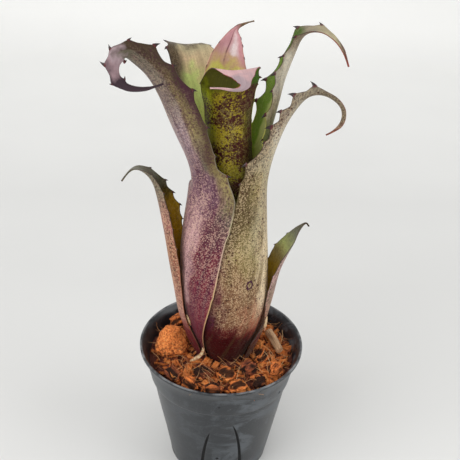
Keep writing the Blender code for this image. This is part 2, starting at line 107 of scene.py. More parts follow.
# ---- plant -------------------------------------------------------------------------------------
AXIS_X = 2.0
LAYER_PITCH = 1.9
FRAME_BLEND = 30.0
SHEATH_STEP = 2.5
BLADE_ROWS = 130
LEAF_COLUMNS = 44
LEAF_CREASE = 50  # steeper edges stay sharp, in degrees
TIP_TAPER = 9.0  # the blade narrows over this last stretch
TOOTH_HOLLOW = 2.2  # how hollow a tooth's flanks are; 1 is straight
LONGEST_TOOTH = 3.4  # spines don't grow with teeth longer than this
INSIDE_WEAR = 0.35  # how much of the outside's marks the smoother inside shows

# outer radius of the urn of rolled sheaths: (height, radius)
URN = (
    (60, 12.2), (66, 12.3), (72, 12.8), (80, 15.2), (86, 17.4), (93, 19.8), (100, 22.0),
    (107, 23.7), (115, 25.0), (124, 25.6), (135, 25.3), (149, 24.5), (162, 23.5),
    (172, 22.8), (181, 22.2), (190, 21.9), (215, 21.9),
)

# Each leaf is a sheath wrapped on the urn and a blade that leaves it.
# layer: how many leaves lie outside it; -1 is outside the urn
# swell: the left half stands out between these heights, by this much
# sheath: (height, azimuth of the midrib, half angle of the wrap)
# blade: (x, y, z, half width, radius of the channel), then the turn about the midrib and the
# slant of the rows where they aren't 0
# left_teeth, right_teeth: (distance along the blade, height of the tooth)
LEAVES = {
    "leaf_front_left": {
        "layer": 0, "slot": "leaf_purple", "swell": (98, 206, 2.3),
        "sheath": ((72, 172, 50), (85, 174.5, 52.5), (97, 178, 55), (110, 182.5, 58.5),
                   (126, 187.5, 63), (138, 192.4, 63.5), (150, 198, 61.5), (160, 203.5, 60),
                   (168, 209, 58.5), (180, 217.5, 57.5), (190, 221.5, 56.5)),
        "blade": ((-16.6, -13.2, 205, 14.9, 19, -7), (-20.9, -15.8, 219, 14.8, 17.5, -2),
                  (-25.7, -18.3, 234, 13.9, 17, 5.5), (-30.8, -19.6, 247.5, 12.2, 17, 8),
                  (-37.6, -21.4, 259.5, 8.6, 17, 13), (-42.8, -23.4, 265.4, 6, 16, 26),
                  (-47.4, -26, 268.4, 4.2, 12, 44), (-51.8, -27.5, 267, 2.9, 10, 64),
                  (-53.4, -28.5, 261.8, 2.3, 9, 74), (-52.4, -29, 256.4, 2.1, 8, 74),
                  (-48.8, -29.5, 253, 1.8, 7, 64), (-43.2, -30, 252, 1.5, 7, 46),
                  (-37, -30, 252.6, 1.2, 7, 26), (-30.7, -29, 254.6, 0.6, 7)),
        "left_teeth": ((-26, 0.6), (-9, 1.4), (4, 1.6), (21, 1.2), (39, 1.8), (60, 1.1), (76, 1),
                       (94, 3.2), (108, 1.2)),
        "right_teeth": ((-59, 0.5), (-40, 0.6), (-19, 1), (9, 2.4), (24, 0.8), (40, 1.2),
                        (58, 2.4), (71, 2), (82, 4.2), (89, 1.8), (94, 1.8), (99, 2.6),
                        (106, 1.6)),
    },
    "leaf_front_right": {
        "layer": 1, "slot": "leaf_khaki",
        "sheath": ((74, 318, 94), (110, 322, 97), (150, 328, 92), (168, 333, 82), (180, 336.5, 64),
                   (190, 338, 57)),
        "blade": ((22.5, -7, 206, 15.8, 17.5), (25.6, -6, 218, 9.2, 13), (29.6, -4.5, 228, 5.8, 8),
                  (34.9, -3, 236.6, 4.2, 6), (40.5, -1, 242, 3.2, 5), (47, 0, 243.2, 2.5, 5),
                  (54, 0, 240.5, 2.1, 5), (59.3, 0, 234, 1.7, 5), (58.4, 0, 226.5, 1.2, 5),
                  (51.5, 0, 221, 0.6, 5)),
        "left_teeth": ((-8, 1.4), (8, 1.2), (17, 2.8), (28, 1.6), (36, 3.6), (44, 3.8), (53, 4.2),
                       (61, 3.4)),
        "right_teeth": ((-30, 0.5), (-12, 0.8), (4, 0.9), (16, 0.9), (27, 0.9), (38, 0.8),
                        (50, 0.7)),
    },
    "leaf_back_left": {
        "layer": 2, "slot": "leaf_grey_green",
        "sheath": ((76, 122, 92), (110, 122, 96), (150, 124, 94), (180, 125, 84), (190, 125, 72)),
        "blade": ((-9.6, 15, 206, 15.5, 17), (-12.5, 18, 223, 16.5, 20), (-17, 22, 241, 17, 26),
                  (-20, 25, 251.5, 15, 40, 0, -4), (-23, 31, 257, 11.5, 60, 0, -6),
                  (-26, 38, 256, 8, 40), (-28, 43, 249, 4.5, 20), (-28, 44, 240, 2, 15),
                  (-26, 42, 233, 0.7, 10)),
        "left_teeth": ((-20, 0.5), (0, 0.7), (18, 0.9), (34, 1), (50, 1.1), (63, 0.9), (72, 1.3),
                       (84, 1.4), (94, 1)),
        "right_teeth": ((-20, 0.5), (0, 0.7), (20, 0.9), (38, 1), (54, 1.6), (71, 2.4), (79, 2.6),
                        (88, 1.5), (96, 1)),
    },
    "leaf_right": {
        "layer": 3, "slot": "leaf_green",
        "sheath": ((78, 22, 88), (110, 22, 92), (150, 22, 92), (180, 22, 80), (190, 22, 64)),
        "blade": ((18.6, 6.3, 206, 12.5, 14.2, -1), (21.9, 6, 222, 12.4, 12, -8),
                  (25.8, 6, 238, 11, 10, -14), (29.1, 5.6, 252, 9.2, 8, -24),
                  (33.2, 5, 265, 7.6, 7.5, -28), (37, 6.4, 271.5, 5.2, 8, -17),
                  (43.5, 6.4, 273.5, 3.3, 9, -6), (51, 5, 270.5, 2.2, 9), (57, 4, 263.5, 1.4, 9),
                  (60, 4, 256.5, 0.6, 9)),
        "left_teeth": ((0, 0.5), (18, 0.9), (30, 1.4), (42, 2.8), (55, 1.6), (64, 2.6), (73, 1.8),
                       (81, 2), (90, 1)),
        "right_teeth": ((-4, 0.6), (14, 0.8), (28, 1), (42, 3.2), (55, 3.2), (67, 1.2), (84, 3.2),
                        (93, 2)),
    },
    "leaf_inner_front": {
        "layer": 4, "slot": "leaf_mottled",
        "sheath": ((82, 262, 100), (110, 263, 100), (150, 264, 96), (180, 265, 88),
                   (196, 266, 84)),
        "blade": ((0.5, -12.8, 212, 16.5, 12.5), (-0.3, -12.9, 226, 15.5, 12.6, 0, 4),
                  (-0.6, -13.5, 238, 15.3, 14.5, 0, 10), (0.2, -15.2, 247, 15.5, 20, 6, 18),
                  (1.8, -16.4, 254.5, 14.2, 34, 16, 14), (4.2, -18, 258.8, 10.6, 60, 40, 6),
                  (5.6, -21.4, 258.6, 7.2, 70, 54, 2), (6.6, -25, 257, 4.3, 60, 48),
                  (6.8, -28.8, 254.4, 1.9, 40, 46), (2.5, -30.8, 253.4, 0.65, 15),
                  (-3, -31, 253.9, 0.45, 12), (-9, -31, 253.9, 0.25, 12)),
        "left_teeth": ((20, 0.4), (34, 0.5), (46, 0.6), (56, 0.8), (64, 1.6), (67, 0.5),
                       (69.5, 0.5), (72, 0.5), (74.5, 0.5), (77, 0.5)),
        "right_teeth": ((20, 0.4), (32, 0.5), (42, 0.6), (50, 0.7), (57, 0.9), (64, 1.6),
                        (71, 0.6), (76, 0.5)),
    },
    "leaf_heart": {
        "layer": 5, "slot": "leaf_pink",
        "sheath": ((86, 100, 105), (110, 98, 105), (150, 96, 100), (180, 95, 95), (190, 94, 93)),
        "blade": ((0.4, 11.2, 203, 17.6, 11.4), (0.5, 9.9, 215, 16.3, 10.2),
                  (-0.8, 10.4, 230, 16.8, 11), (-2.8, 10.8, 245, 15.8, 11.6),
                  (-2.4, 10.6, 254, 13.4, 10.5), (-0.8, 10, 262, 9.4, 8.5),
                  (0.4, 9.6, 266, 6.2, 7), (1.2, 9.3, 269.5, 3.7, 6), (2.6, 9, 272.8, 1.3, 5),
                  (6.1, 9, 274.9, 0.8, 5), (11.4, 9, 276.6, 0.5, 5)),
        "left_teeth": ((54, 0.5), (60, 0.5), (66, 0.6), (72, 0.7), (77, 0.7), (80, 0.6)),
        "right_teeth": ((52, 0.5), (60, 0.9), (65, 0.9), (71, 0.5), (76, 0.5)),
    },
    "leaf_basal_left": {
        "layer": -1, "slot": "leaf_basal_pink", "swell": (64, 116, 2.2),
        "sheath": ((70, 196, 26), (84, 195, 26), (94, 193, 27)),
        "blade": ((-24.9, -4.7, 108, 10.4, 15, -8), (-28.6, -4.2, 128, 11, 12, -11),
                  (-31.5, -3, 148, 12.7, 9.5, -20), (-34.4, -1.5, 168, 12.6, 9, -24),
                  (-37.8, -0.5, 184, 9.6, 8.5, -15), (-42.3, 0, 194.5, 6.2, 8, -6),
                  (-48.8, -0.5, 198.5, 3.4, 8), (-57, -1, 191, 0.6, 8)),
        "left_teeth": ((46, 0.5), (56, 0.6), (66, 0.8), (73, 0.9), (81, 1.6), (89, 1.6), (96, 1.5),
                       (105, 0.8)),
        "right_teeth": ((50, 0.4), (62, 0.5), (74, 0.5), (84, 0.6), (94, 0.8), (104, 0.6)),
    },
    "leaf_basal_right": {
        "layer": -1, "slot": "leaf_basal_olive",
        "sheath": ((70, 352, 40), (84, 354, 40), (94, 355, 40)),
        "blade": ((26.8, -1.5, 106, 9.3, 21, 1), (29.8, -0.5, 121, 10.6, 12, 3),
                  (31.9, 0, 136, 10.8, 11, 11), (35.2, 0.5, 148, 9, 10, 18),
                  (39.6, 1, 158.5, 5.2, 10, 18), (43, 1, 165.4, 1.9, 8, 18),
                  (45.8, 1, 167.6, 0.9, 8, 18), (47.4, 1, 165.6, 0.5, 8, 18)),
        "left_teeth": ((24, 0.4), (34, 0.5), (44, 0.6), (54, 0.6), (64, 0.4)),
        "right_teeth": ((24, 0.4), (35, 0.5), (45, 0.6), (55, 0.6), (65, 0.4)),
    },
}

# the plant's colours, as a painter would name them, in 8-bit sRGB
PALETTE = {
    "wine": (58, 0, 8), "maroon": (92, 20, 24), "magenta": (104, 22, 42), "grape": (66, 28, 48),
    "liver": (60, 22, 18), "plum": (104, 52, 60), "dark_plum": (56, 42, 48),
    "violet": (112, 78, 92), "mauve": (196, 154, 154), "lilac": (142, 118, 122),
    "dusk": (196, 158, 158), "dove": (160, 140, 144), "hazel": (132, 98, 70),
    "rose": (178, 124, 112), "salmon": (172, 112, 84), "tan": (186, 156, 112),
    "khaki": (144, 130, 82), "stone": (172, 162, 128), "olive": (94, 80, 50),
    "umber": (66, 52, 38), "moss": (66, 64, 10), "mustard": (166, 134, 14),
    "amber": (204, 156, 18), "pale_green": (200, 220, 132), "silver": (188, 182, 164),
    "ash": (132, 122, 104), "smoke": (100, 94, 78), "straw": (248, 228, 190),
    "grey_green": (104, 108, 92), "green": (100, 132, 46), "leaf_green": (146, 158, 12),
    "night_green": (20, 28, 4), "deep_green": (58, 88, 16), "sage": (172, 182, 116),
    "lime": (238, 236, 116), "yellow_green": (148, 132, 26), "peach": (222, 186, 146),
    "pink": (222, 172, 178), "petal": (206, 150, 156), "blush": (250, 234, 234),
    "brick": (140, 56, 42), "cream": (210, 184, 146), "oat": (200, 166, 148), "horn": (44, 22, 22),
    "ink": (24, 16, 16),
}

# Coats of the leaves; a line of colours gives the distance along the blade of each one.
# outside, inside: strips from the leaf's left margin (-1) to its right one (1)
# edge: the thin margin
# mottle: fine scurf (colour, share, level)
# dots: small dark dots (colour, share, size in the barest places)
# streaks: long stripes (colour, share)
# clouds: large patches (colour, share, scale across, scale along, level)
# scurf_ends: the scurf starts, is full, starts to thin out and has its last share there
# bare: no scurf left of these places, up to these distances
# clean: the marks fade out between these distances
# frost: sheen of the scurf at a grazing angle
# scar: a ring (across, along, radius); crease: painted shade of a fold (place across, start, end)
COATS = {
    "leaf_front_left": {
        # dark_plum at the end of each line, on every face, is painted shade under the curled tip
        # left edge; the umber and olive of the upper right half are partly painted shade, and the
        # the mauve from -84 to -24 is the leaf's own, lightened as a painted highlight of the lit
        "outside": (
            (-0.7, "-118 wine, 0 violet, 30 dove, 60 ash, 80 smoke, 90 smoke, 95 dove, 100 lilac, "
                   "106 dark_plum, 138 dark_plum"),
            (0.22, "-118 wine, -108 maroon, -98 violet, -84 mauve, -24 mauve, 8 violet, 36 dove, "
                   "60 ash, 80 smoke, 91 smoke, 96 dove, 100 lilac, 106 dark_plum"),
            (0.5, "-118 brick, -108 maroon, -94 magenta, -36 magenta, -14 plum, 4 violet, "
                  "20 smoke, 44 khaki, 66 olive, 80 umber, 91 umber, 96 dove, 100 lilac, "
                  "106 dark_plum"),
            (0.85, "-118 brick, -104 maroon, -84 magenta, -44 magenta, -26 plum, -10 smoke, "
                   "4 khaki, 24 olive, 50 umber, 91 umber, 96 dove, 100 lilac, 106 dark_plum"),
        ),
        "inside": (
            (0, "-118 wine, 0 olive, 80 olive, 94 lilac, 105 dark_plum"),
        ),
        "edge": "-118 salmon, -60 tan, -36 oat, -14 stone, 0 ash, 50 umber, 92 umber, "
                "102 dark_plum",
        "mottle": ("oat", 0.62, 0.5), "dots": ("grape", 0.45, 0.6), "streaks": ("grape", 0.48),
        "scurf_ends": (-106, -12, -6, 30, 0.38), "bare": (1, 0.2, 10, -20),
        "clouds": ("grape", 0.45, 0.1, 0.03, 0.52), "clean": (82, 92), "frost": 0.26,
    },
    "leaf_front_right": {
        # and the straw of the last strip is a painted highlight of the lit right edge
        # the grape and plum of the left strip are a painted shadow of leaf_front_left's margin,
        "outside": (
            (-0.82, "-118 wine, -90 wine, -76 grape, -56 plum, -38 plum, -28 olive, 10 olive, "
                    "30 ash, 60 ash, 84 ash, 100 brick"),
            (-0.5, "-118 wine, -91 wine, -82 maroon, -72 hazel, -50 hazel, -32 khaki, -10 olive, "
                   "6 khaki, 30 silver, 60 ash, 84 ash, 100 brick"),
            (-0.16, "-118 wine, -96 wine, -88 maroon, -77 salmon, -62 hazel, -40 khaki, "
                    "-16 stone, 8 stone, 30 silver, 60 ash, 84 ash, 100 brick"),
            (0.08, "-118 wine, -98 maroon, -90 brick, -80 salmon, -62 straw, -34 straw, "
                   "-12 stone, 12 stone, 40 silver, 60 ash, 84 ash, 100 brick"),
        ),
        "inside": (
            (0, "-118 wine, -30 deep_green, 20 green, 45 ash, 96 brick"),
        ),
        "edge": "-118 wine, -20 khaki, 20 umber, 60 umber, 96 brick",
        "mottle": ("cream", 0.5, 0.52), "dots": ("liver", 0.6, 0.7), "streaks": ("olive", 0.35),
        "scurf_ends": (-92, -72, 20, 60, 0.35), "clouds": ("maroon", 0.25, 0.06, 0.03, 0.56),
        "frost": 0.3, "scar": (-9.4, -52, 1.7), "bare": (-0.78, -0.56, -62, -44),
    },
    "leaf_back_left": {
        "outside": (
            (0, "-116 wine, -40 plum, 20 lilac, 106 ash"),
        ),
        "inside": (
            (-0.6, "-116 wine, 0 lime, 34 pale_green, 50 pale_green, 58 cream, 71 stone, "
                   "76 umber, 106 umber"),
            (0.35, "-116 wine, 0 lime, 46 pale_green, 56 pale_green, 63 cream, 71 stone, "
                   "76 umber, 106 umber"),
            (0.72, "-116 wine, 30 green, 46 umber, 106 umber"),
        ),
        "edge": "-116 wine, 30 umber, 60 umber, 106 dark_plum",
        "mottle": ("cream", 0.35, 0.49), "dots": ("umber", 0.3, 0.6), "streaks": ("olive", 0.4),
        "scurf_ends": (-100, -80, 60, 90, 0.6), "clouds": ("olive", 0.35, 0.1, 0.05, 0.5),
        "frost": 0.2,
    },
    "leaf_right": {
        "outside": (
            (0, "-114 wine, 0 sage, 34 sage, 46 stone, 58 silver, 68 silver, 78 ash, 86 olive, "
                "104 brick"),
        ),
        "inside": (
            (0.1, "-114 wine, 20 sage, 40 silver, 52 silver, 80 ash, 88 ash, 100 stone, "
                  "108 umber, 114 brick"),
            (0.36, "-114 wine, -20 deep_green, 28 sage, 54 sage, 63 green, 80 deep_green, 86 ash, "
                   "100 stone, 108 umber, 114 brick"),
            (0.62, "-114 wine, -20 deep_green, 16 green, 46 green, 66 green, 80 deep_green, "
                   "86 ash, 100 stone, 108 umber, 114 brick"),
        ),
        "edge": "-114 wine, 20 lime, 50 umber, 84 umber, 104 brick",
        "mottle": ("cream", 0.22, 0.49), "dots": ("umber", 0.22, 0.6), "streaks": ("umber", 0.4),
        "scurf_ends": (-100, -80, 60, 90, 0.6), "clouds": ("lilac", 0.15, 0.1, 0.05, 0.5),
        "frost": 0.3,
    },
    "leaf_inner_front": {
        # the marks fade out; the night green of the right strip is partly painted shade
        # the moss and deep green from about 56 to 70 are painted shade under the folded tip, where
        "outside": (
            (-0.9, "-110 wine, -20 moss, 10 leaf_green, 50 leaf_green, 57 moss, 70 moss, "
                   "90 lilac"),
            (-0.2, "-110 wine, -20 moss, 10 yellow_green, 48 yellow_green, 56 moss, 70 moss, "
                   "90 lilac"),
            (0.45, "-110 wine, -20 deep_green, 20 yellow_green, 48 yellow_green, 56 moss, "
                   "66 deep_green, 90 lilac"),
            (0.78, "-110 wine, -20 night_green, 40 night_green, 56 deep_green, 64 deep_green, "
                   "90 lilac"),
        ),
        "inside": (
            (-0.3, "-110 wine, 30 moss, 52 moss, 60 dusk, 68 dusk, 73 dove, 80 dove, 88 dusk, "
                   "102 dusk"),
            (0.5, "-110 wine, 30 moss, 47 moss, 54 peach, 60 dusk, 68 dusk, 73 dove, 80 dove, "
                  "88 dusk, 102 dusk"),
        ),
        "edge": "-110 wine, 40 leaf_green, 52 moss, 58 umber, 72 brick, 102 pink",
        "mottle": ("khaki", 0.35, 0.49), "dots": ("liver", 1, 0.2), "streaks": ("moss", 0.35),
        "scurf_ends": (-100, -80, 40, 52, 0), "clouds": ("liver", 0.95, 0.06, 0.085, 0.488),
        "clean": (50, 56), "frost": 0.04,
    },
    "leaf_heart": {
        "outside": (
            (0, "-105 wine, 20 lime, 60 peach, 74 pink, 84 pink, 90 khaki"),
        ),
        # the blush from 71 to 77 is a painted highlight
        "inside": (
            (-0.75, "-105 wine, 30 green, 60 lime, 65 peach, 70 petal, 84 petal, 88 olive"),
            (-0.3, "-105 wine, 30 green, 62 lime, 67 peach, 71 blush, 77 blush, 84 petal, "
                   "88 olive"),
            (0.1, "-105 wine, 30 green, 63 lime, 67 peach, 73 pink, 84 petal, 88 olive"),
            (0.8, "-105 wine, 30 green, 61 lime, 66 peach, 75 petal, 84 petal, 88 olive"),
        ),
        "edge": "-105 wine, 40 lime, 58 cream, 66 rose, 80 rose, 90 umber",
        "mottle": ("blush", 0.12, 0.49), "dots": ("rose", 0.05, 0.6), "streaks": ("rose", 0.55),
        "scurf_ends": (-100, -80, 60, 90, 0.4), "clouds": ("rose", 0.3, 0.1, 0.04, 0.5),
        "frost": 0.1, "crease": (0.1, 66, 84),
    },
    "leaf_basal_left": {
        "outside": (
            (0, "-25 wine, -4 magenta, 8 magenta, 20 rose, 60 salmon, 74 rose, 78 rose, "
                "96 grey_green, 123 grey_green"),
        ),
        "inside": (
            (0, "-25 maroon, 4 maroon, 16 salmon, 36 amber, 60 amber, 84 mustard, 91 moss, "
                "100 grey_green, 123 grey_green"),
        ),
        "edge": "-25 wine, 30 salmon, 70 umber, 96 umber, 123 umber",
        "mottle": ("cream", 0.45, 0.49), "dots": ("umber", 0.55, 0.6), "streaks": ("maroon", 0.45),
        "scurf_ends": (8, 26, 70, 95, 0.5), "clouds": ("maroon", 0.35, 0.1, 0.05, 0.5),
        "frost": 0.08,
    },
    "leaf_basal_right": {
        "outside": (
            (0, "-25 wine, 2 maroon, 12 salmon, 40 mauve, 52 mauve, 62 grey_green, 77 umber"),
        ),
        "inside": (
            (0, "-25 maroon, 2 salmon, 12 salmon, 22 amber, 42 mustard, 52 khaki, 60 sage, "
                "70 grey_green, 76 umber"),
        ),
        "edge": "-25 wine, 30 umber, 77 umber",
        "mottle": ("stone", 0.4, 0.49), "dots": ("umber", 0.55, 0.6), "streaks": ("umber", 0.4),
        "scurf_ends": (0, 10, 50, 70, 0.6), "clouds": ("umber", 0.6, 0.1, 0.06, 0.5),
        "frost": 0.25,
    },
}


# ---- settings shown in the sidebar -----------------------------------------------------------
def tint(name, description, default):
    return FloatVectorProperty(name=name, description=description, subtype="COLOR", size=3,
                               min=0.0, max=1.0, default=default)


def length(name, description, low, high, default):
    return FloatProperty(name=name, description=description, unit="LENGTH", min=low, max=high,
                         default=default)


def power(name, description, default):
    return FloatProperty(name=name, description=description, unit="POWER", min=0.0, max=200.0,
                         default=default)


def amount(name, description, high, default):
    return FloatProperty(name=name, description=description, min=0.0, max=high, default=default)


class PotSettings(bpy.types.PropertyGroup):
    plastic_color: tint("Plastic", "Colour of the pot's plastic", (0.010, 0.013, 0.017))
    roughness: amount("Roughness", "Roughness of the clean plastic", 1.0, 0.30)
    groove: length("Flute Groove", "Depth of the groove round each flute", 0.0, 0.002, 0.0012)
    segments: IntProperty(name="Segments", description="Steps round the pot", min=48, max=720,
                          default=540)


class HuskSettings(bpy.types.PropertyGroup):
    bright_color: tint("Bright Husk", "Colour of the dry pith", (0.86, 0.245, 0.058))
    dark_color: tint("Dark Husk", "Colour of the damp rind", (0.080, 0.020, 0.011))
    voxel: length("Chip Grain", "Size of the smallest facet of a chip", 0.0003, 0.002, 0.0005)
    litter_spacing: length("Litter Spacing", "Least distance between small chips", 0.001, 0.02,
                           0.0024)
    fibre_density: amount("Fibre Density", "Fibres on a square metre of husk", 1e6, 100000.0)
    fibre_length: length("Fibre Length", "Length of the longest fibres", 0.001, 0.02, 0.0085)
    seed: IntProperty(name="Seed", description="Seed of the litter and fibres", default=11)


class LeafSettings(bpy.types.PropertyGroup):
    thickness: length("Thickness", "Thickness of a leaf at its midrib", 0.0002, 0.002, 0.00095)
    margin_thickness: length("Margin Thickness", "Thickness of a leaf at its margin", 0.0001,
                             0.002, 0.00035)
    undulation: length("Undulation", "Height of the blade's soft waves", 0.0, 0.002, 0.00035)
    spine_length: length("Spine Length", "Length of a spine on a tooth 1 mm high", 0.0, 0.005,
                         0.0015)
    seed: IntProperty(name="Seed", description="Seed of the waves and spines", default=5)


class StageSettings(bpy.types.PropertyGroup):
    floor_color: tint("Floor", "Colour of the floor and backdrop", (0.80, 0.80, 0.785))
    ambient: amount("Ambient", "Strength of the light from all round", 3.0, 0.44)
    key_power: power("Key Light", "Power of the soft box at the left", 9.0)
    rim_power: power("Rim Light", "Power of the soft box at the right", 5.0)
    top_power: power("Top Light", "Power of the soft box overhead", 3.6)
    front_power: power("Front Light", "Power of the weak soft box beside the camera", 3.0)


class HohenbergiaSettings(bpy.types.PropertyGroup):
    pot: PointerProperty(type=PotSettings)
    husk: PointerProperty(type=HuskSettings)
    leaves: PointerProperty(type=LeafSettings)
    stage: PointerProperty(type=StageSettings)


# ---- curves through keys -----------------------------------------------------------------------
def eased(keys, values, at):
    """Monotone cubic through (keys, values): no overshoot between two keys."""
    keys = np.asarray(keys, float)
    values = np.asarray(values, float)
    at = np.clip(at, keys[0], keys[-1])
    step = np.diff(keys)
    slope = np.diff(values) / step
    tangent = np.zeros(len(keys))
    tangent[0], tangent[-1] = slope[0], slope[-1]
    for i in range(1, len(keys) - 1):
        if slope[i - 1] * slope[i] > 0.0:
            before = 2 * step[i] + step[i - 1]
            after = step[i] + 2 * step[i - 1]
            tangent[i] = (before + after) / (before / slope[i - 1] + after / slope[i])
    span = np.clip(np.searchsorted(keys, at, side="right") - 1, 0, len(step) - 1)
    return hermite(values, tangent, step[span], (at - keys[span]) / step[span], span)


def hermite(values, tangent, step, t, span):
    return ((1 + 2 * t) * (1 - t) ** 2 * values[span] + t * (1 - t) ** 2 * step * tangent[span]
            + t * t * (3 - 2 * t) * values[span + 1] + t * t * (t - 1) * step * tangent[span + 1])


def smooth_path(length, points, start_tangent, at):
    """Cubic spline through 3-D points: its start direction is given, its end is free."""
    count = len(length)
    step = np.diff(length)
    system = np.zeros((count, count))
    right = np.zeros((count, 3))
    system[0, 0] = 1.0
    right[0] = start_tangent
    for i in range(1, count - 1):
        system[i, i - 1:i + 2] = step[i], 2 * (step[i] + step[i - 1]), step[i - 1]
        right[i] = 3 * (step[i] * (points[i] - points[i - 1]) / step[i - 1]
                        + step[i - 1] * (points[i + 1] - points[i]) / step[i])
    system[-1, -2:] = 1.0, 2.0
    right[-1] = 3 * (points[-1] - points[-2]) / step[-1]
    tangent = np.linalg.solve(system, right)
    span = np.clip(np.searchsorted(length, at, side="right") - 1, 0, count - 2)
    t = ((at - length[span]) / step[span])[:, None]
    return hermite(points, tangent, step[span][:, None], t, span)


def unit(vectors):
    return vectors / np.linalg.norm(vectors, axis=-1, keepdims=True)


def smoothstep(low, high, value):
    t = np.clip((np.asarray(value, float) - low) / (high - low), 0.0, 1.0)
    return t * t * (3 - 2 * t)


# ---- meshes and modifiers ----------------------------------------------------------------------
def link(made):
    bpy.context.scene.collection.objects.link(made)
    return made


def mesh_object(name, points, faces):
    mesh = bpy.data.meshes.new(name)
    mesh.from_pydata([tuple(point) for point in points], [], faces)
    mesh.update()
    return link(bpy.data.objects.new(name, mesh))


def grid_faces(rows, columns, closed=False):
    """Quads of a grid of points; a closed grid joins its last column to its first."""
    faces = []
    for row in range(rows - 1):
        for column in range(columns if closed else columns - 1):
            after = (column + 1) % columns
            low, high = row * columns, (row + 1) * columns
            faces.append((low + column, low + after, high + after, high + column))
    return faces


def freeze(made):
    """Replace an object's mesh with its evaluated one, and drop its modifiers."""
    graph = bpy.context.evaluated_depsgraph_get()
    mesh = bpy.data.meshes.new_from_object(made.evaluated_get(graph))
    made.modifiers.clear()
    made.data = mesh
    return made


def discard(*objects):
    for made in objects:
        bpy.data.objects.remove(made, do_unlink=True)


def store(mesh, name, values, kind="FLOAT"):
    """Keep a number or a vector at every point of a mesh."""
    attribute = mesh.attributes.new(name, kind, "POINT")
    field = "value" if kind == "FLOAT" else "vector"
    attribute.data.foreach_set(field, np.array(values, np.float32).ravel())


def outward(mesh):
    """Turn every face of a closed mesh outwards."""
    shell = bmesh.new()
    shell.from_mesh(mesh)
    bmesh.ops.recalc_face_normals(shell, faces=shell.faces)
    shell.to_mesh(mesh)
    shell.free()


def settle(made, slot, *nodes):
    """Hand a finished piece to the frame."""
    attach(made, BODY)
    if nodes:
        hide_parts(*nodes)
    return made


def dress(made, material, slot, *nodes, sharp=None):
    """Give a finished piece its one material and soft shading, and hand it to the frame."""
    made.data.materials.clear()
    made.data.materials.append(material)
    made.data.shade_smooth()
    if sharp is not None:
        made.data.set_sharp_from_angle(angle=math.radians(sharp))
    return settle(made, slot, *nodes)


def thicken(made, thickness):
    """A wall of this thickness on both sides of a sheet."""
    solidify = made.modifiers.new("thickness", "SOLIDIFY")
    solidify.thickness = thickness
    solidify.offset = 0.0
    return solidify


# ---- node trees --------------------------------------------------------------------------------
def arithmetic(operation):
    """A method that adds a Math node to the tree of its signal."""
    return lambda signal, *others: signal.nodes.math(operation, signal, *others)


class Signal:
    """What a socket gives; arithmetic on it adds Math nodes to its tree."""

    def __init__(self, nodes, socket):
        self.nodes, self.socket = nodes, socket

    __add__ = arithmetic("ADD")
    __sub__ = arithmetic("SUBTRACT")
    __mul__ = arithmetic("MULTIPLY")
    __truediv__ = arithmetic("DIVIDE")
    __abs__ = arithmetic("ABSOLUTE")

    def __rsub__(self, other):
        return self.nodes.math("SUBTRACT", other, self)


def labels(values):
    """Values by the labels of their sockets: base_color is for Base Color."""
    return {name.replace("_", " ").title().replace("Ior", "IOR"): value
            for name, value in values.items()}


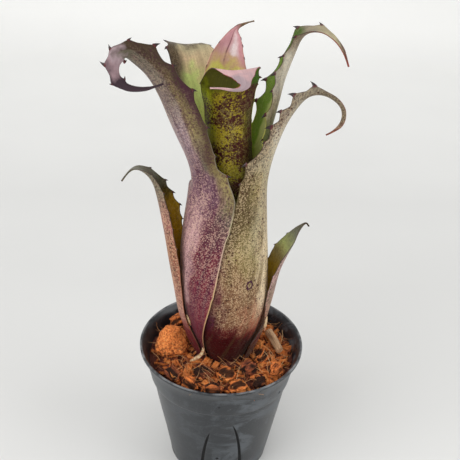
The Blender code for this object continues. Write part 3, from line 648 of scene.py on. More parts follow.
class Nodes:
    """Adds nodes to a tree; an input takes a value or a signal."""

    def __init__(self, tree):
        self.tree = tree

    def add(self, kind, inputs=None, **settings):
        made = self.tree.nodes.new(kind)
        for key, value in settings.items():
            setattr(made, key, value)
        for key, value in (inputs or {}).items():
            self.feed(made.inputs[key], value)
        return made.outputs

    def feed(self, socket, value):
        if isinstance(value, Signal):
            self.tree.links.new(value.socket, socket)
        else:
            socket.default_value = value

    def out(self, kind, inputs=None, output=0, **settings):
        """Add a node for one of its outputs."""
        return Signal(self, self.add(kind, inputs, **settings)[output])

    def math(self, operation, *values):
        return self.out("ShaderNodeMath", dict(enumerate(values)), operation=operation)

    def vector_math(self, operation, first, output=0, **inputs):
        return self.out("ShaderNodeVectorMath", {0: first, **labels(inputs)}, output,
                        operation=operation)

    def parts(self, vector):
        made = self.add("ShaderNodeSeparateXYZ", {0: vector})
        return [Signal(self, output) for output in made]

    def blend(self, factor, first, second, mode="MIX"):
        return self.out("ShaderNodeMix", {0: factor, 6: first, 7: second}, 2,
                        data_type="RGBA", blend_type=mode)

    def noise(self, vector, scale, detail=3.0, roughness=0.5, distortion=0.0):
        return self.out("ShaderNodeTexNoise", {
            "Vector": vector, "Scale": scale, "Detail": detail, "Roughness": roughness,
            "Distortion": distortion})

    def drift(self, vector, scale, offset=(0.0, 0.0, 0.0), detail=3.0, roughness=0.5,
              distortion=0.0):
        """Noise that is stretched along its axes."""
        moved = self.stretched(vector, scale, offset)
        return self.noise(moved, 1.0, detail, roughness, distortion)

    def cells(self, vector, scale, channel=0):
        """A random tone for each Voronoi cell, and the distance to its middle."""
        made = self.add("ShaderNodeTexVoronoi", {"Vector": vector, "Scale": scale},
                        feature="F1")
        color = Signal(self, made["Color"])
        return (self.out("ShaderNodeSeparateColor", {0: color}, channel),
                Signal(self, made["Distance"]))

    def spread(self, value, low, high, out_low=0.0, out_high=1.0):
        """Map a range smoothly onto another one, and hold it there."""
        return self.out("ShaderNodeMapRange", {
            "Value": value, "From Min": low, "From Max": high, "To Min": out_low,
            "To Max": out_high}, interpolation_type="SMOOTHSTEP")

    def stretched(self, vector, scale, offset=(0.0, 0.0, 0.0)):
        return self.out("ShaderNodeMapping", {"Vector": vector, "Scale": scale,
                                              "Location": offset})

    def attribute(self, name, output="Fac"):
        return self.out("ShaderNodeAttribute", None, output, attribute_name=name)

    def object_place(self):
        return self.out("ShaderNodeTexCoord", None, "Object")

    def ramp(self, factor, stops):
        """Ramp through (position, linear RGBA) stops."""
        made = self.tree.nodes.new("ShaderNodeValToRGB")
        self.feed(made.inputs["Fac"], factor)
        elements = made.color_ramp.elements
        while len(elements) < len(stops):
            elements.new(0.5)
        for element, stop in zip(elements, sorted(stops, key=lambda stop: stop[0])):
            element.position, element.color = stop
        return Signal(self, made.outputs["Color"])

    def bumped(self, height, distance, strength=1.0, **before):
        """Normal of a surface with this relief, over the normal before it."""
        return self.out("ShaderNodeBump", {"Height": height, "Distance": distance,
                                           "Strength": strength, **labels(before)})


class Finish(Nodes):
    """The nodes of a new material, which end in its shader."""

    def __init__(self, name):
        self.material = bpy.data.materials.new(name)
        self.material.use_nodes = True
        super().__init__(self.material.node_tree)

    def shade(self, **sockets):
        """Feed the shader's sockets, and hand over the finished material."""
        shader = self.tree.nodes["Principled BSDF"]
        for label, value in labels(sockets).items():
            self.feed(shader.inputs[label], value)
        return self.material


class Growth(Nodes):
    """A Geometry Nodes tree; its given inputs have the labels of these names."""

    def __init__(self, label, **given):
        super().__init__(bpy.data.node_groups.new(label, "GeometryNodeTree"))
        interface = self.tree.interface
        interface.new_socket("Geometry", in_out="INPUT", socket_type="NodeSocketGeometry")
        self.identifiers = {}
        for name, label in zip(given, labels(given)):
            default = given[name]
            kind = {int: "Int", float: "Float"}.get(type(default), default)
            socket = interface.new_socket(label, in_out="INPUT",
                                          socket_type="NodeSocket" + kind)
            if kind != default:
                socket.default_value = default
            self.identifiers[name] = socket.identifier
        interface.new_socket("Geometry", in_out="OUTPUT", socket_type="NodeSocketGeometry")
        sockets = self.add("NodeGroupInput")
        self.base = Signal(self, sockets["Geometry"])
        self.given = {name: Signal(self, socket)
                      for name, socket in zip(given, list(sockets)[1:])}

    def place(self):
        return self.out("GeometryNodeInputPosition")

    def named(self, name, kind="FLOAT"):
        return self.out("GeometryNodeInputNamedAttribute", {"Name": name}, "Attribute",
                        data_type=kind)

    def stored(self, geometry, name, value, kind="FLOAT", domain="POINT"):
        return self.out("GeometryNodeStoreNamedAttribute", {
            "Geometry": geometry, "Name": name, "Value": value}, data_type=kind, domain=domain)

    def dice(self, low, high, kind="FLOAT"):
        """A random number or vector for each point, from the tree's seed."""
        first, last, output = {"FLOAT": (2, 3, 1), "FLOAT_VECTOR": (0, 1, 0)}[kind]
        return self.out("FunctionNodeRandomValue", {
            first: low, last: high, "Seed": self.given["seed"]}, output, data_type=kind)

    def spots(self, method, **inputs):
        """Points scattered on the base."""
        return self.out("GeometryNodeDistributePointsOnFaces", {
            "Mesh": self.base, "Seed": self.given["seed"], **labels(inputs)},
            distribute_method=method)

    def copies(self, points, piece, rotation, scale):
        return self.out("GeometryNodeInstanceOnPoints", {
            "Points": points, "Instance": piece, "Rotation": rotation, "Scale": scale})

    def real(self, copies):
        return self.out("GeometryNodeRealizeInstances", {"Geometry": copies})

    def toned(self, copies, low, high):
        """Copies with a random tone each, made real."""
        tone = self.dice(low, high)
        return self.real(self.stored(copies, "tone", tone, domain="INSTANCE"))

    def moved(self, geometry, **inputs):
        """Give every point a new position or an offset."""
        return self.out("GeometryNodeSetPosition", {"Geometry": geometry, **labels(inputs)})

    def painted(self, geometry, material):
        return self.out("GeometryNodeSetMaterial", {"Geometry": geometry,
                                                    "Material": material})

    def finish(self, geometry):
        self.add("NodeGroupOutput", {"Geometry": geometry})

    def shaken(self, geometry, scale, detail, middle, reach):
        """Move every point by noise round this middle, as far as the reach."""
        wild = self.out("ShaderNodeTexNoise", {"Vector": self.place(), "Scale": scale,
                                               "Detail": detail}, "Color")
        centred = self.out("ShaderNodeVectorMath", {0: wild, 1: middle}, operation="SUBTRACT")
        return self.moved(geometry, offset=self.vector_math("SCALE", centred, scale=reach))

    def grow(self, made, **inputs):
        """Run the tree on an object and keep its result as a plain mesh."""
        modifier = made.modifiers.new(self.tree.name, "NODES")
        modifier.node_group = self.tree
        for name, value in inputs.items():
            modifier[self.identifiers[name]] = value
        return freeze(made)


def paint(name):
    """A palette colour as linear RGBA."""
    channels = []
    for value in PALETTE[name]:
        share = value / 255
        channels.append(share / 12.92 if share <= 0.04045 else ((share + 0.055) / 1.055) ** 2.4)
    return (*channels, 1.0)


def grey(value):
    return (value, value, value, 1.0)


# ---- leaves: shape -----------------------------------------------------------------------------
def leaf_frames(spec):
    """Midrib points with the outward and sideways directions and the size of each row."""
    sheath = np.array(spec["sheath"], float)
    rows = round((sheath[-1, 0] - sheath[0, 0]) / SHEATH_STEP) + 1
    height = np.linspace(sheath[0, 0], sheath[-1, 0], rows)
    azimuth = np.radians(eased(sheath[:, 0], sheath[:, 1], height))
    wrap = np.radians(eased(sheath[:, 0], sheath[:, 2], height))
    heights, radii = zip(*URN)
    radius = eased(heights, radii, height) - spec["layer"] * LAYER_PITCH
    flat = np.zeros_like(azimuth)
    outward = np.stack([np.cos(azimuth), np.sin(azimuth), flat], -1)
    sideways = np.stack([-np.sin(azimuth), np.cos(azimuth), flat], -1)
    midrib = outward * radius[:, None]
    midrib[:, 0] += AXIS_X
    midrib[:, 2] = height

    blade = [(*row, 0, 0)[:7] for row in spec["blade"]]
    keys = np.vstack([[*midrib[-1], radius[-1] * wrap[-1], radius[-1], 0, 0], blade])
    chords = np.linalg.norm(np.diff(keys[:, :3], axis=0), axis=1)
    length = np.concatenate([[0.0], np.cumsum(chords)])
    along = np.linspace(0.0, length[-1], BLADE_ROWS + 1)[1:]
    start = unit(midrib[-1] - midrib[-2])
    midrib = np.vstack([midrib, smooth_path(length, keys[:, :3], start, along)])
    half_width = np.concatenate([radius * wrap, eased(length, keys[:, 3], along)])
    bend = np.concatenate([1 / radius, eased(length, 1 / keys[:, 4], along)])
    turn = np.radians(np.concatenate([flat, eased(length, keys[:, 5], along)]))[:, None]
    slant = np.radians(np.concatenate([flat, eased(length, keys[:, 6], along)]))[:, None]
    reach = np.cumsum(np.r_[0.0, np.linalg.norm(np.diff(midrib, axis=0), axis=1)])
    reach -= reach[rows - 1]

    tangent = unit(np.gradient(midrib, axis=0))
    outward, sideways = carried_frames(tangent, outward, sideways, along)
    turned_out = outward * np.cos(turn) + sideways * np.sin(turn)
    turned_side = sideways * np.cos(turn) - outward * np.sin(turn)
    turned_side = turned_side * np.cos(slant) + tangent * np.sin(slant)
    return midrib, turned_out, turned_side, half_width, bend, reach


def carried_frames(tangent, outward, sideways, along):
    """Carry the last sheath frame along the blade and square it to the midrib."""
    outward, sideways = list(outward), list(sideways)
    out, side = outward[-1], sideways[-1]
    for i, distance in enumerate(along, start=len(outward)):
        axis = np.cross(tangent[i - 1], tangent[i])
        cosine = tangent[i - 1] @ tangent[i]
        out = out * cosine + np.cross(axis, out) + axis * (axis @ out) / (1 + cosine)
        side = side * cosine + np.cross(axis, side) + axis * (axis @ side) / (1 + cosine)
        square_out = unit(out - (out @ tangent[i]) * tangent[i])
        square_side = np.cross(tangent[i], square_out)
        square_side = square_side if square_side @ side > 0 else -square_side
        weight = float(smoothstep(0.0, FRAME_BLEND, distance))
        outward.append(unit((1 - weight) * out + weight * square_out))
        sideways.append(unit((1 - weight) * side + weight * square_side))
    return np.array(outward), np.array(sideways)


def tooth_profile(teeth, reach):
    """How far the margin stands out at each row: a pointed tooth with hollow flanks."""
    stand = np.zeros_like(reach)
    for place, height in teeth:
        foot = 1.6 + 2.1 * height
        share = np.clip(1 - np.abs(reach - place) / foot, 0.0, 1.0)
        stand = np.maximum(stand, height * share ** TOOTH_HOLLOW)
    return stand


def leaf_grid(spec, undulation, seed):
    """Points of a leaf with its place along and across it, and its distance to the tip."""
    midrib, outward, sideways, half_width, bend, reach = leaf_frames(spec)
    half_width = half_width * (0.25 + 0.75 * smoothstep(0.0, TIP_TAPER, reach[-1] - reach))
    across = np.linspace(-1.0, 1.0, LEAF_COLUMNS + 1)
    arc = across[None, :] * half_width[:, None]
    outer = smoothstep(0.35, 1.0, np.abs(across))[None, :]
    left = tooth_profile(spec["left_teeth"], reach)[:, None]
    right = tooth_profile(spec["right_teeth"], reach)[:, None]
    arc = arc + outer * np.where(across < 0, -left, right)
    curl = bend[:, None]
    lateral = (np.sin(curl * arc) / curl)[..., None]
    depth = ((1 - np.cos(curl * arc)) / curl)[..., None]
    points = midrib[:, None] + sideways[:, None] * lateral - outward[:, None] * depth

    normal = outward[:, None] * np.cos(curl * arc)[..., None]
    normal = normal + sideways[:, None] * np.sin(curl * arc)[..., None]
    waves = np.zeros_like(arc)
    free = smoothstep(-60.0, 30.0, reach)
    for row in range(arc.shape[0]):
        for column in range(arc.shape[1]):
            place = Vector((arc[row, column] * 0.11, reach[row] * 0.045, seed))
            margin = abs(across[column]) ** 6 * 1.2 * free[row]
            ripple = noise.noise(Vector((reach[row] * 0.16, across[column] * 2, seed + 9)))
            waves[row, column] = noise.noise(place) * (0.35 + 0.65 * free[row]) + margin * ripple
    waves = waves * undulation
    if "swell" in spec:
        low, high, stand = spec["swell"]
        share = np.clip((midrib[:, 2] - low) / (high - low), 0.0, 1.0)
        left_half = smoothstep(0.7, -0.3, across)
        waves += stand * np.sin(math.pi * share)[:, None] ** 2 * left_half[None, :]
    return points + normal * waves[..., None], arc, reach, across


def tooth_sites(points, reach, spec, dice):
    """Tip of each tooth with its outward direction, the way to the leaf's tip and its size."""
    sites = []
    for column, inner, teeth in ((0, 2, spec["left_teeth"]), (-1, -3, spec["right_teeth"])):
        edge = points[:, column]
        for place, height in teeth:
            row = int(np.argmin(np.abs(reach - place)))
            out = unit(edge[row] - points[row, inner])
            tip_way = unit(edge[min(row + 2, len(edge) - 1)] - edge[max(row - 2, 0)])
            size = (0.5 + 0.48 * min(height, LONGEST_TOOTH)) * dice.uniform(0.9, 1.15)
            sites.append((edge[row] * MM, out, tip_way, size))
    places, outs, ways, sizes = zip(*sites)
    made = mesh_object("spine_sites", places, [])
    store(made.data, "spine_out", outs, "FLOAT_VECTOR")
    store(made.data, "tip_way", ways, "FLOAT_VECTOR")
    store(made.data, "spine_size", sizes)
    return made


def spine_tree():
    """Geometry Nodes: a hooked, flattened spine on every tooth, joined to the leaf."""
    tree = Growth("Margin Spines", sites="Object", spine_length=0.0013, spine_width=0.00042,
                  hook=0.45, seed=0, horn="Material")
    given = tree.given
    length = given["spine_length"]
    cone = tree.out("GeometryNodeMeshCone", {
        "Vertices": 8, "Side Segments": 6, "Fill Segments": 1, "Radius Top": 0.00002,
        "Radius Bottom": given["spine_width"], "Depth": length}, "Mesh")
    x, y, z = tree.parts(tree.place())
    share = z / length
    back = tree.math("POWER", share, 2.0) * length
    bent = tree.out("ShaderNodeCombineXYZ", {
        "X": x * 1.5 - back * given["hook"], "Y": y * 0.62, "Z": z - length * 0.3})
    spine = tree.moved(tree.stored(cone, "spine_way", share), position=bent)
    sites = tree.out("GeometryNodeObjectInfo", {"Object": given["sites"]}, "Geometry")
    facing = tree.out("FunctionNodeAxesToRotation", {
        "Primary Axis": tree.named("spine_out", "FLOAT_VECTOR"),
        "Secondary Axis": tree.named("tip_way", "FLOAT_VECTOR")},
        primary_axis="Z", secondary_axis="X")
    lean = tree.dice((-0.1, -0.45, -0.1), (0.1, -0.05, 0.1), "FLOAT_VECTOR")
    leaned = tree.out("FunctionNodeRotateRotation", {
        "Rotation": facing,
        "Rotate By": tree.out("FunctionNodeEulerToRotation", {"Euler": lean})},
        rotation_space="LOCAL")
    real = tree.real(tree.copies(sites, spine, leaned, tree.named("spine_size")))
    smooth = tree.out("GeometryNodeSetShadeSmooth", {"Geometry": real})
    spines = tree.painted(smooth, given["horn"])
    joined = tree.tree.nodes.new("GeometryNodeJoinGeometry")
    tree.feed(joined.inputs[0], spines)
    tree.feed(joined.inputs[0], tree.base)
    tree.finish(Signal(tree, joined.outputs[0]))
    return tree


def add_leaf(name, settings, tree, horn):
    """One leaf: a shell with thin toothed margins and a spine on every tooth."""
    spec = LEAVES[name]
    seed = settings.seed + 10 * list(LEAVES).index(name)
    points, arc, reach, across = leaf_grid(spec, settings.undulation / MM, seed)
    rows, columns = arc.shape
    leaf = mesh_object(name, points.reshape(-1, 3) * MM, grid_faces(rows, columns))
    check_against_frame(leaf, name)
    mesh = leaf.data
    share = (reach - reach[0]) / (reach[-1] - reach[0])
    store(mesh, "reach", np.repeat(share, columns))
    store(mesh, "side", np.tile(across, rows))
    skin = mesh.uv_layers.new(name="skin")
    place = np.stack([arc, np.broadcast_to(reach[:, None], arc.shape)], -1).reshape(-1, 2)
    corners = np.empty(len(mesh.loops), np.int32)
    mesh.loops.foreach_get("vertex_index", corners)
    skin.data.foreach_set("uv", place[corners].astype(np.float32).ravel())

    body = leaf.vertex_groups.new(name="body")
    for column, side in enumerate(across):
        inner = float(1 - smoothstep(0.55, 1.0, abs(side)))
        body.add([row * columns + column for row in range(rows)], inner, "REPLACE")
    for made in leaf_materials(name, reach):
        mesh.materials.append(made)
    solidify = thicken(leaf, settings.thickness)
    solidify.vertex_group = "body"
    solidify.thickness_vertex_group = settings.margin_thickness / settings.thickness
    solidify.material_offset = 1
    solidify.material_offset_rim = 2
    sites = tooth_sites(points, reach, spec, random.Random(seed))
    tree.grow(leaf, sites=sites, spine_length=settings.spine_length, seed=seed, horn=horn)
    discard(sites)
    leaf.data.shade_smooth()
    leaf.data.set_sharp_from_angle(angle=math.radians(LEAF_CREASE))
    return settle(leaf, spec["slot"], name)


def check_against_frame(made, name, slack=0.008):
    """A finished shape has to fill the place that the frame keeps for it."""
    corners = np.array([vertex.co for vertex in made.data.vertices])
    low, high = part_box(name)
    off = max(np.abs(corners.min(0) - low).max(), np.abs(corners.max(0) - high).max())
    if off > slack:
        raise RuntimeError(f"{name} lies {off / MM:.1f} mm off its place in the frame")


# ---- leaves: finish ----------------------------------------------------------------------------
class LeafSkin(Finish):
    """A leaf's finish, which knows its places along the blade, across it and on the skin."""

    def __init__(self, leaf, face, reach, seed):
        super().__init__(f"{leaf}_{face}")
        self.coat = COATS[leaf]
        self.start, self.span = reach[0], reach[-1] - reach[0]
        self.flat = self.out("ShaderNodeUVMap", uv_map="skin")
        self.skin = self.stretched(self.flat, (1.0, 1.0, 1.0),
                                   (seed * 7.3, seed * 3.1, seed * 1.7))
        self.across = self.attribute("side")
        self.along = self.attribute("reach") + (self.noise(self.skin, 0.14) - 0.5) * 0.10
        self.side = self.across + (self.drift(self.skin, (0.2, 0.07, 1.0)) - 0.5) * 0.55

    def share(self, distance):
        """A distance along the blade as a share of the whole leaf."""
        return (distance - self.start) / self.span

    def between(self, low, high, first=0.0, last=1.0):
        """Goes from first to last between two distances along the blade."""
        return self.spread(self.along, self.share(low), self.share(high), first, last)

    def spell(self, start, full, fading, faded, last):
        """Grows from 0 to 1 between two distances and falls to its last value."""
        return self.between(start, full) * self.between(fading, faded, 1.0, last)

    def colors(self, keys):
        """The colours of a line of keys along the blade."""
        stops = []
        for place, color in (key.split() for key in keys.split(", ")):
            stops.append((min(max(self.share(float(place)), 0.0), 1.0), paint(color)))
        return self.ramp(self.along, stops)

    def strips(self, strips):
        """Blend the strips' colours from the left margin to the right one."""
        color = self.colors(strips[0][1])
        for (left, _), (right, keys) in zip(strips, strips[1:]):
            color = self.blend(self.spread(self.side, left, right), color, self.colors(keys))
        return color

    def lines_and_patches(self, color, marks, tufts):
        """Long streaks and large ragged patches."""
        streak_color, streak_share = self.coat["streaks"]
        patch_color, patch_share, across, down, level = self.coat["clouds"]
        lines = self.drift(self.skin, (0.30, 0.020, 1.0), (5.0, 2.0, 0.0), 4.0, 0.6)
        streak = self.spread(lines + tufts * 0.35, 0.50, 0.62, 0.0, streak_share) * marks
        color = self.blend(streak, color, paint(streak_color))
        cloud = self.drift(self.skin, (across, down, 1.0), (4.0, 9.0, 0.0), 3.0, 0.6)
        ragged = self.spread(cloud + tufts * 1.1, level - 0.04, level + 0.05, 0.0, patch_share)
        return self.blend(ragged * marks, color, paint(patch_color)), cloud

    def scurfed(self, color, marks, fine):
        """Fine pale scurf that thins out along the blade, and dark specks where it is thin."""
        scurf_color, scurf_share, level = self.coat["mottle"]
        cover = self.spell(*self.coat["scurf_ends"]) * self.math("MULTIPLY", marks, scurf_share)
        if "bare" in self.coat:
            left, right, low, high = self.coat["bare"]
            kept = self.math("MAXIMUM", self.spread(self.side, left, right),
                             self.between(low, high))
            cover = cover * kept
        thick = self.drift(self.skin, (0.14, 0.05, 1.0), (11.0, 5.0, 0.0), 3.0, 0.6)
        grains = self.spread(fine + (thick - 0.5) * 0.5, level - 0.05, level + 0.09)
        color = self.blend(cover * grains, color, paint(scurf_color))
        dot_color, dot_share, _ = self.coat["dots"]
        specks = self.spread(fine, 0.38, 0.27, 0.0, min(0.6, dot_share)) * marks
        return self.blend(specks, color, paint(dot_color))

    def speckled(self, color, strength):
        """Streaks, patches, scurf and dark dots over a leaf's colour, and their relief."""
        shade, distance = self.cells(self.skin, 1.40, channel=1)
        pores = self.noise(self.skin, 2.2, 2.0, 0.6)
        fine = shade * 0.34 + ((0.45 - distance) * 0.55 + pores * 0.66)
        shifted = self.stretched(self.skin, (1.0, 1.0, 1.0), (31.0, 17.0, 0.0))
        tufts = self.noise(shifted, 0.9, 3.0, 0.7) - 0.5
        marks = strength
        if "clean" in self.coat:
            marks = self.between(*self.coat["clean"], strength, 0.0)
        color, cloud = self.lines_and_patches(color, marks, tufts)
        color = self.scurfed(color, marks, fine)

        dot_color, share, least = self.coat["dots"]
        chosen, distance = self.cells(self.skin, 0.55)
        size = chosen * self.spread(cloud, 0.35, 0.60, least, 1.0) * (0.55 * share + 0.05)
        dots = self.spread(size - distance, -0.10, 0.06, 0.0, min(1.0, 0.6 + share * 0.4))
        dots = dots * marks
        return self.blend(dots, color, paint(dot_color)), fine - dots

    def scarred(self, color, across, distance, radius):
        """An old bite healed as a dark ragged ring."""
        squash = 0.72
        moved = self.stretched(self.flat, (1.0, squash, 1.0),
                               (-across, -squash * distance, 0.0))
        wobble = (self.noise(self.flat, 0.9, 2.0) - 0.5) * 1.6
        away = self.vector_math("LENGTH", moved, "Value") + wobble
        return self.blend(self.spread(abs(away - radius), 0.62, 0.30), color, paint("grape"))

    def fold_shaded(self, color, across, start, end):
        """Painted shade: a dark line along a fold of the blade."""
        line = self.spread(abs(self.across - across), 0.07, 0.0, 0.0, 0.8)
        fold = line * self.spell(start, start + 6, end, end + 4, 0.0)
        return self.blend(fold, color, paint("plum"))

    def ribbed(self, color, relief, roughness):
        """Fine ribs along the leaf with painted light and shade, and the sheen of its scurf."""
        ribs = (self.drift(self.skin, (1.1, 0.035, 1.0), roughness=0.6) * 0.4
                + self.drift(self.skin, (0.35, 0.02, 1.0), (3.0, 0.0, 0.0), 2.0) * 0.6)
        # painted light and shade of the ribs, laid over the colour
        painted_light_tones = self.ramp(ribs, ((0.35, grey(0.30)), (0.62, grey(0.72))))
        normal = self.bumped(relief, 0.0003, 0.5, normal=self.bumped(ribs, 0.0012, 0.6))
        return self.shade(
            base_color=self.blend(0.28, color, painted_light_tones, "OVERLAY"), normal=normal,
            roughness=self.spread(relief, 0.2, 0.8, roughness - 0.08, roughness + 0.10),
            sheen_weight=self.coat["frost"], sheen_roughness=0.30,
            specular_ior_level=0.14, sheen_tint=paint("silver"))


def leaf_face_material(name, face, reach, seed, strength, roughness):
    """One face of a leaf, with its thin margin."""
    skin = LeafSkin(name, face, reach, seed)
    coat = skin.coat
    color, relief = skin.speckled(skin.strips(coat[face]), strength)
    if face == "outside" and "scar" in coat:
        color = skin.scarred(color, *coat["scar"])
    if face == "inside" and "crease" in coat:
        color = skin.fold_shaded(color, *coat["crease"])
    rim = skin.spread(abs(skin.across), 0.960, 0.992)
    return skin.ribbed(skin.blend(rim, color, skin.colors(coat["edge"])), relief, roughness)


def leaf_materials(name, reach):
    """Outside, inside and margin of one leaf."""
    seed = list(COATS).index(name)
    edge = LeafSkin(name, "margin", reach, seed + 40)
    edge.shade(base_color=edge.colors(edge.coat["edge"]), roughness=0.5)
    return (leaf_face_material(name, "outside", reach, seed, 1.0, 0.50),
            leaf_face_material(name, "inside", reach, seed + 20, INSIDE_WEAR, 0.42),
            edge.material)


def horn_material():
    """Spines: brown at the foot and nearly black at the tip."""
    horn = Finish("spine_horn")
    mottle = horn.noise(horn.object_place(), 900.0) * 0.25
    color = horn.ramp(horn.attribute("spine_way") + mottle, (
        (0.15, paint("maroon")), (0.45, paint("horn")), (1.0, paint("ink"))))
    return horn.shade(base_color=color, roughness=0.38)


# ---- pot ---------------------------------------------------------------------------------------
def pot_profile():
    """(radius, height) round the pot's wall: floor inside, wall up, lip, wall down, base."""
    shoulder = POT_HEIGHT - COLLAR_DEPTH - 1
    foot = BASE_RADIUS + (BODY_TOP_RADIUS - BASE_RADIUS) / shoulder * FLOOR - WALL
    inside = [(0.0, FLOOR), (foot - 1.2, FLOOR), (foot, FLOOR + 1.2),
              (BODY_TOP_RADIUS - WALL, shoulder), (COLLAR_RADIUS - WALL, shoulder + 1),
              (COLLAR_TOP_RADIUS - WALL, POT_HEIGHT - 8),
              (RIM_RADIUS - 1.5 - WALL, POT_HEIGHT - 2.4)]
    lip = [(RIM_RADIUS - inward, POT_HEIGHT - down) for inward, down in LIP]
    outside = [(COLLAR_TOP_RADIUS, POT_HEIGHT - 8), (COLLAR_RADIUS + 0.25, shoulder + 1.7),
               (COLLAR_RADIUS, shoulder + 1.0), (COLLAR_RADIUS - 0.5, shoulder + 0.5),
               (BODY_TOP_RADIUS + 0.2, shoulder + 0.2), (BODY_TOP_RADIUS, shoulder - 0.6)]
    base = [(BASE_RADIUS + 0.1, 0.8), (BASE_RADIUS - 0.25, 0.2), (BASE_RADIUS - 0.9, 0.0),
            (0.0, 0.0)]
    return inside, lip, outside, base


def finer(points, step):
    """The same line with points at most a step apart."""
    made = [points[0]]
    for (r0, z0), (r1, z1) in zip(points, points[1:]):
        count = max(1, math.ceil(math.hypot(r1 - r0, z1 - z0) / step))
        made += [(r0 + (r1 - r0) * i / count, z0 + (z1 - z0) * i / count)
                 for i in range(1, count + 1)]
    return made


def flute_line(angle, height):
    """Place beside a flute: share of the groove round it, and of its recess."""
    if height >= FLUTE_HEIGHT or height < 0:
        return 0.0, 0.0
    turn = 360 / FLUTE_COUNT
    offset = (math.degrees(angle) - FLUTE_START + turn / 2) % turn - turn / 2
    radius = BASE_RADIUS + (BODY_TOP_RADIUS - BASE_RADIUS) * height / (POT_HEIGHT - COLLAR_DEPTH)
    side = abs(math.radians(offset)) * radius
    half = FLUTE_WIDTH / 2 * math.sqrt(1 - (height / FLUTE_HEIGHT) ** 2)
    start = FLUTE_HEIGHT * (LOW_FLANK if offset < 0 else 1.0)
    groove = math.exp(-((side - half) / (1.05 - 0.6 * height / FLUTE_HEIGHT)) ** 2)
    groove *= float(smoothstep(start, start * 0.72, height))
    recess = float(smoothstep(half + 0.3, half - 1.2, side))
    return groove, recess * float(smoothstep(FLUTE_HEIGHT, FLUTE_HEIGHT * 0.72, height))


def add_groove_shade(pot):
    """Store where shade is painted: in the grooves round the flutes, on the outer wall."""
    values = []
    for vertex in pot.data.vertices:
        x, y, z = (value / MM for value in vertex.co)
        outer = math.hypot(x, y) > BASE_RADIUS - 2 and z > 0.5
        values.append(flute_line(math.atan2(y, x), z)[0] if outer else 0.0)
    store(pot.data, "grime", values)


def turned_mesh(profile, segments):
    """Closed body of revolution from a (radius, height) line between two ends on the axis."""
    angles = np.linspace(0.0, math.tau, segments, endpoint=False)
    rings = profile[1:-1]
    points = [(radius * x, radius * y, height) for radius, height in rings
              for x, y in zip(np.cos(angles), np.sin(angles))]
    first, last = len(points), len(points) + 1
    points += [(0.0, 0.0, profile[0][1]), (0.0, 0.0, profile[-1][1])]
    top = (len(rings) - 1) * segments
    faces = grid_faces(len(rings), segments, closed=True)
    faces += [(first, (i + 1) % segments, i) for i in range(segments)]
    faces += [(last, top + i, top + (i + 1) % segments) for i in range(segments)]
    return points, faces


def add_pot(settings):
    inside, lip, outside, base = pot_profile()
    wall_down = finer([outside[-1], base[0]], 1.5)
    inner = finer(inside, 6.0) + lip
    profile = inner + finer([lip[-1]] + outside, 4.0)[1:] + wall_down[1:] + base[1:]
    points, faces = turned_mesh(profile, settings.segments)
    groove = settings.groove / MM
    outer_start = len(inner) * settings.segments
    shaped = []
    for index, (x, y, z) in enumerate(points):
        radius = math.hypot(x, y)
        if index > outer_start and radius > BASE_RADIUS and z > 0.5:
            line, recess = flute_line(math.atan2(y, x), z)
            share = 1 - (groove * line + FLUTE_RECESS * recess) / radius
            x, y = x * share, y * share
        shaped.append((x * MM, y * MM, z * MM))
    pot = mesh_object("nursery_pot_finished", shaped, faces)
    outward(pot.data)
    cutters = [drain_cutter(index) for index in range(DRAIN_COUNT)]
    for cutter in cutters:
        boolean = pot.modifiers.new(cutter.name, "BOOLEAN")
        boolean.operation = "DIFFERENCE"
        boolean.solver = "EXACT"
        boolean.object = cutter
    freeze(pot)
    discard(*cutters)
    add_groove_shade(pot)
    dress(pot, pot_material(settings), "pot_plastic", "nursery_pot", sharp=POT_CREASE)


def drain_cutter(index):
    angle = math.radians(FLUTE_START + (index + 0.5) * 360 / DRAIN_COUNT)
    place = (DRAIN_CIRCLE * math.cos(angle) * MM, DRAIN_CIRCLE * math.sin(angle) * MM, 0.0)
    drill = bmesh.new()
    bmesh.ops.create_cone(drill, cap_ends=True, segments=32, radius1=DRAIN_RADIUS * MM,
                          radius2=DRAIN_RADIUS * MM, depth=4 * FLOOR * MM,
                          matrix=Matrix.Translation(place))
    mesh = bpy.data.meshes.new(f"drain_{index + 1}")
    drill.to_mesh(mesh)
    drill.free()
    return link(bpy.data.objects.new(mesh.name, mesh))


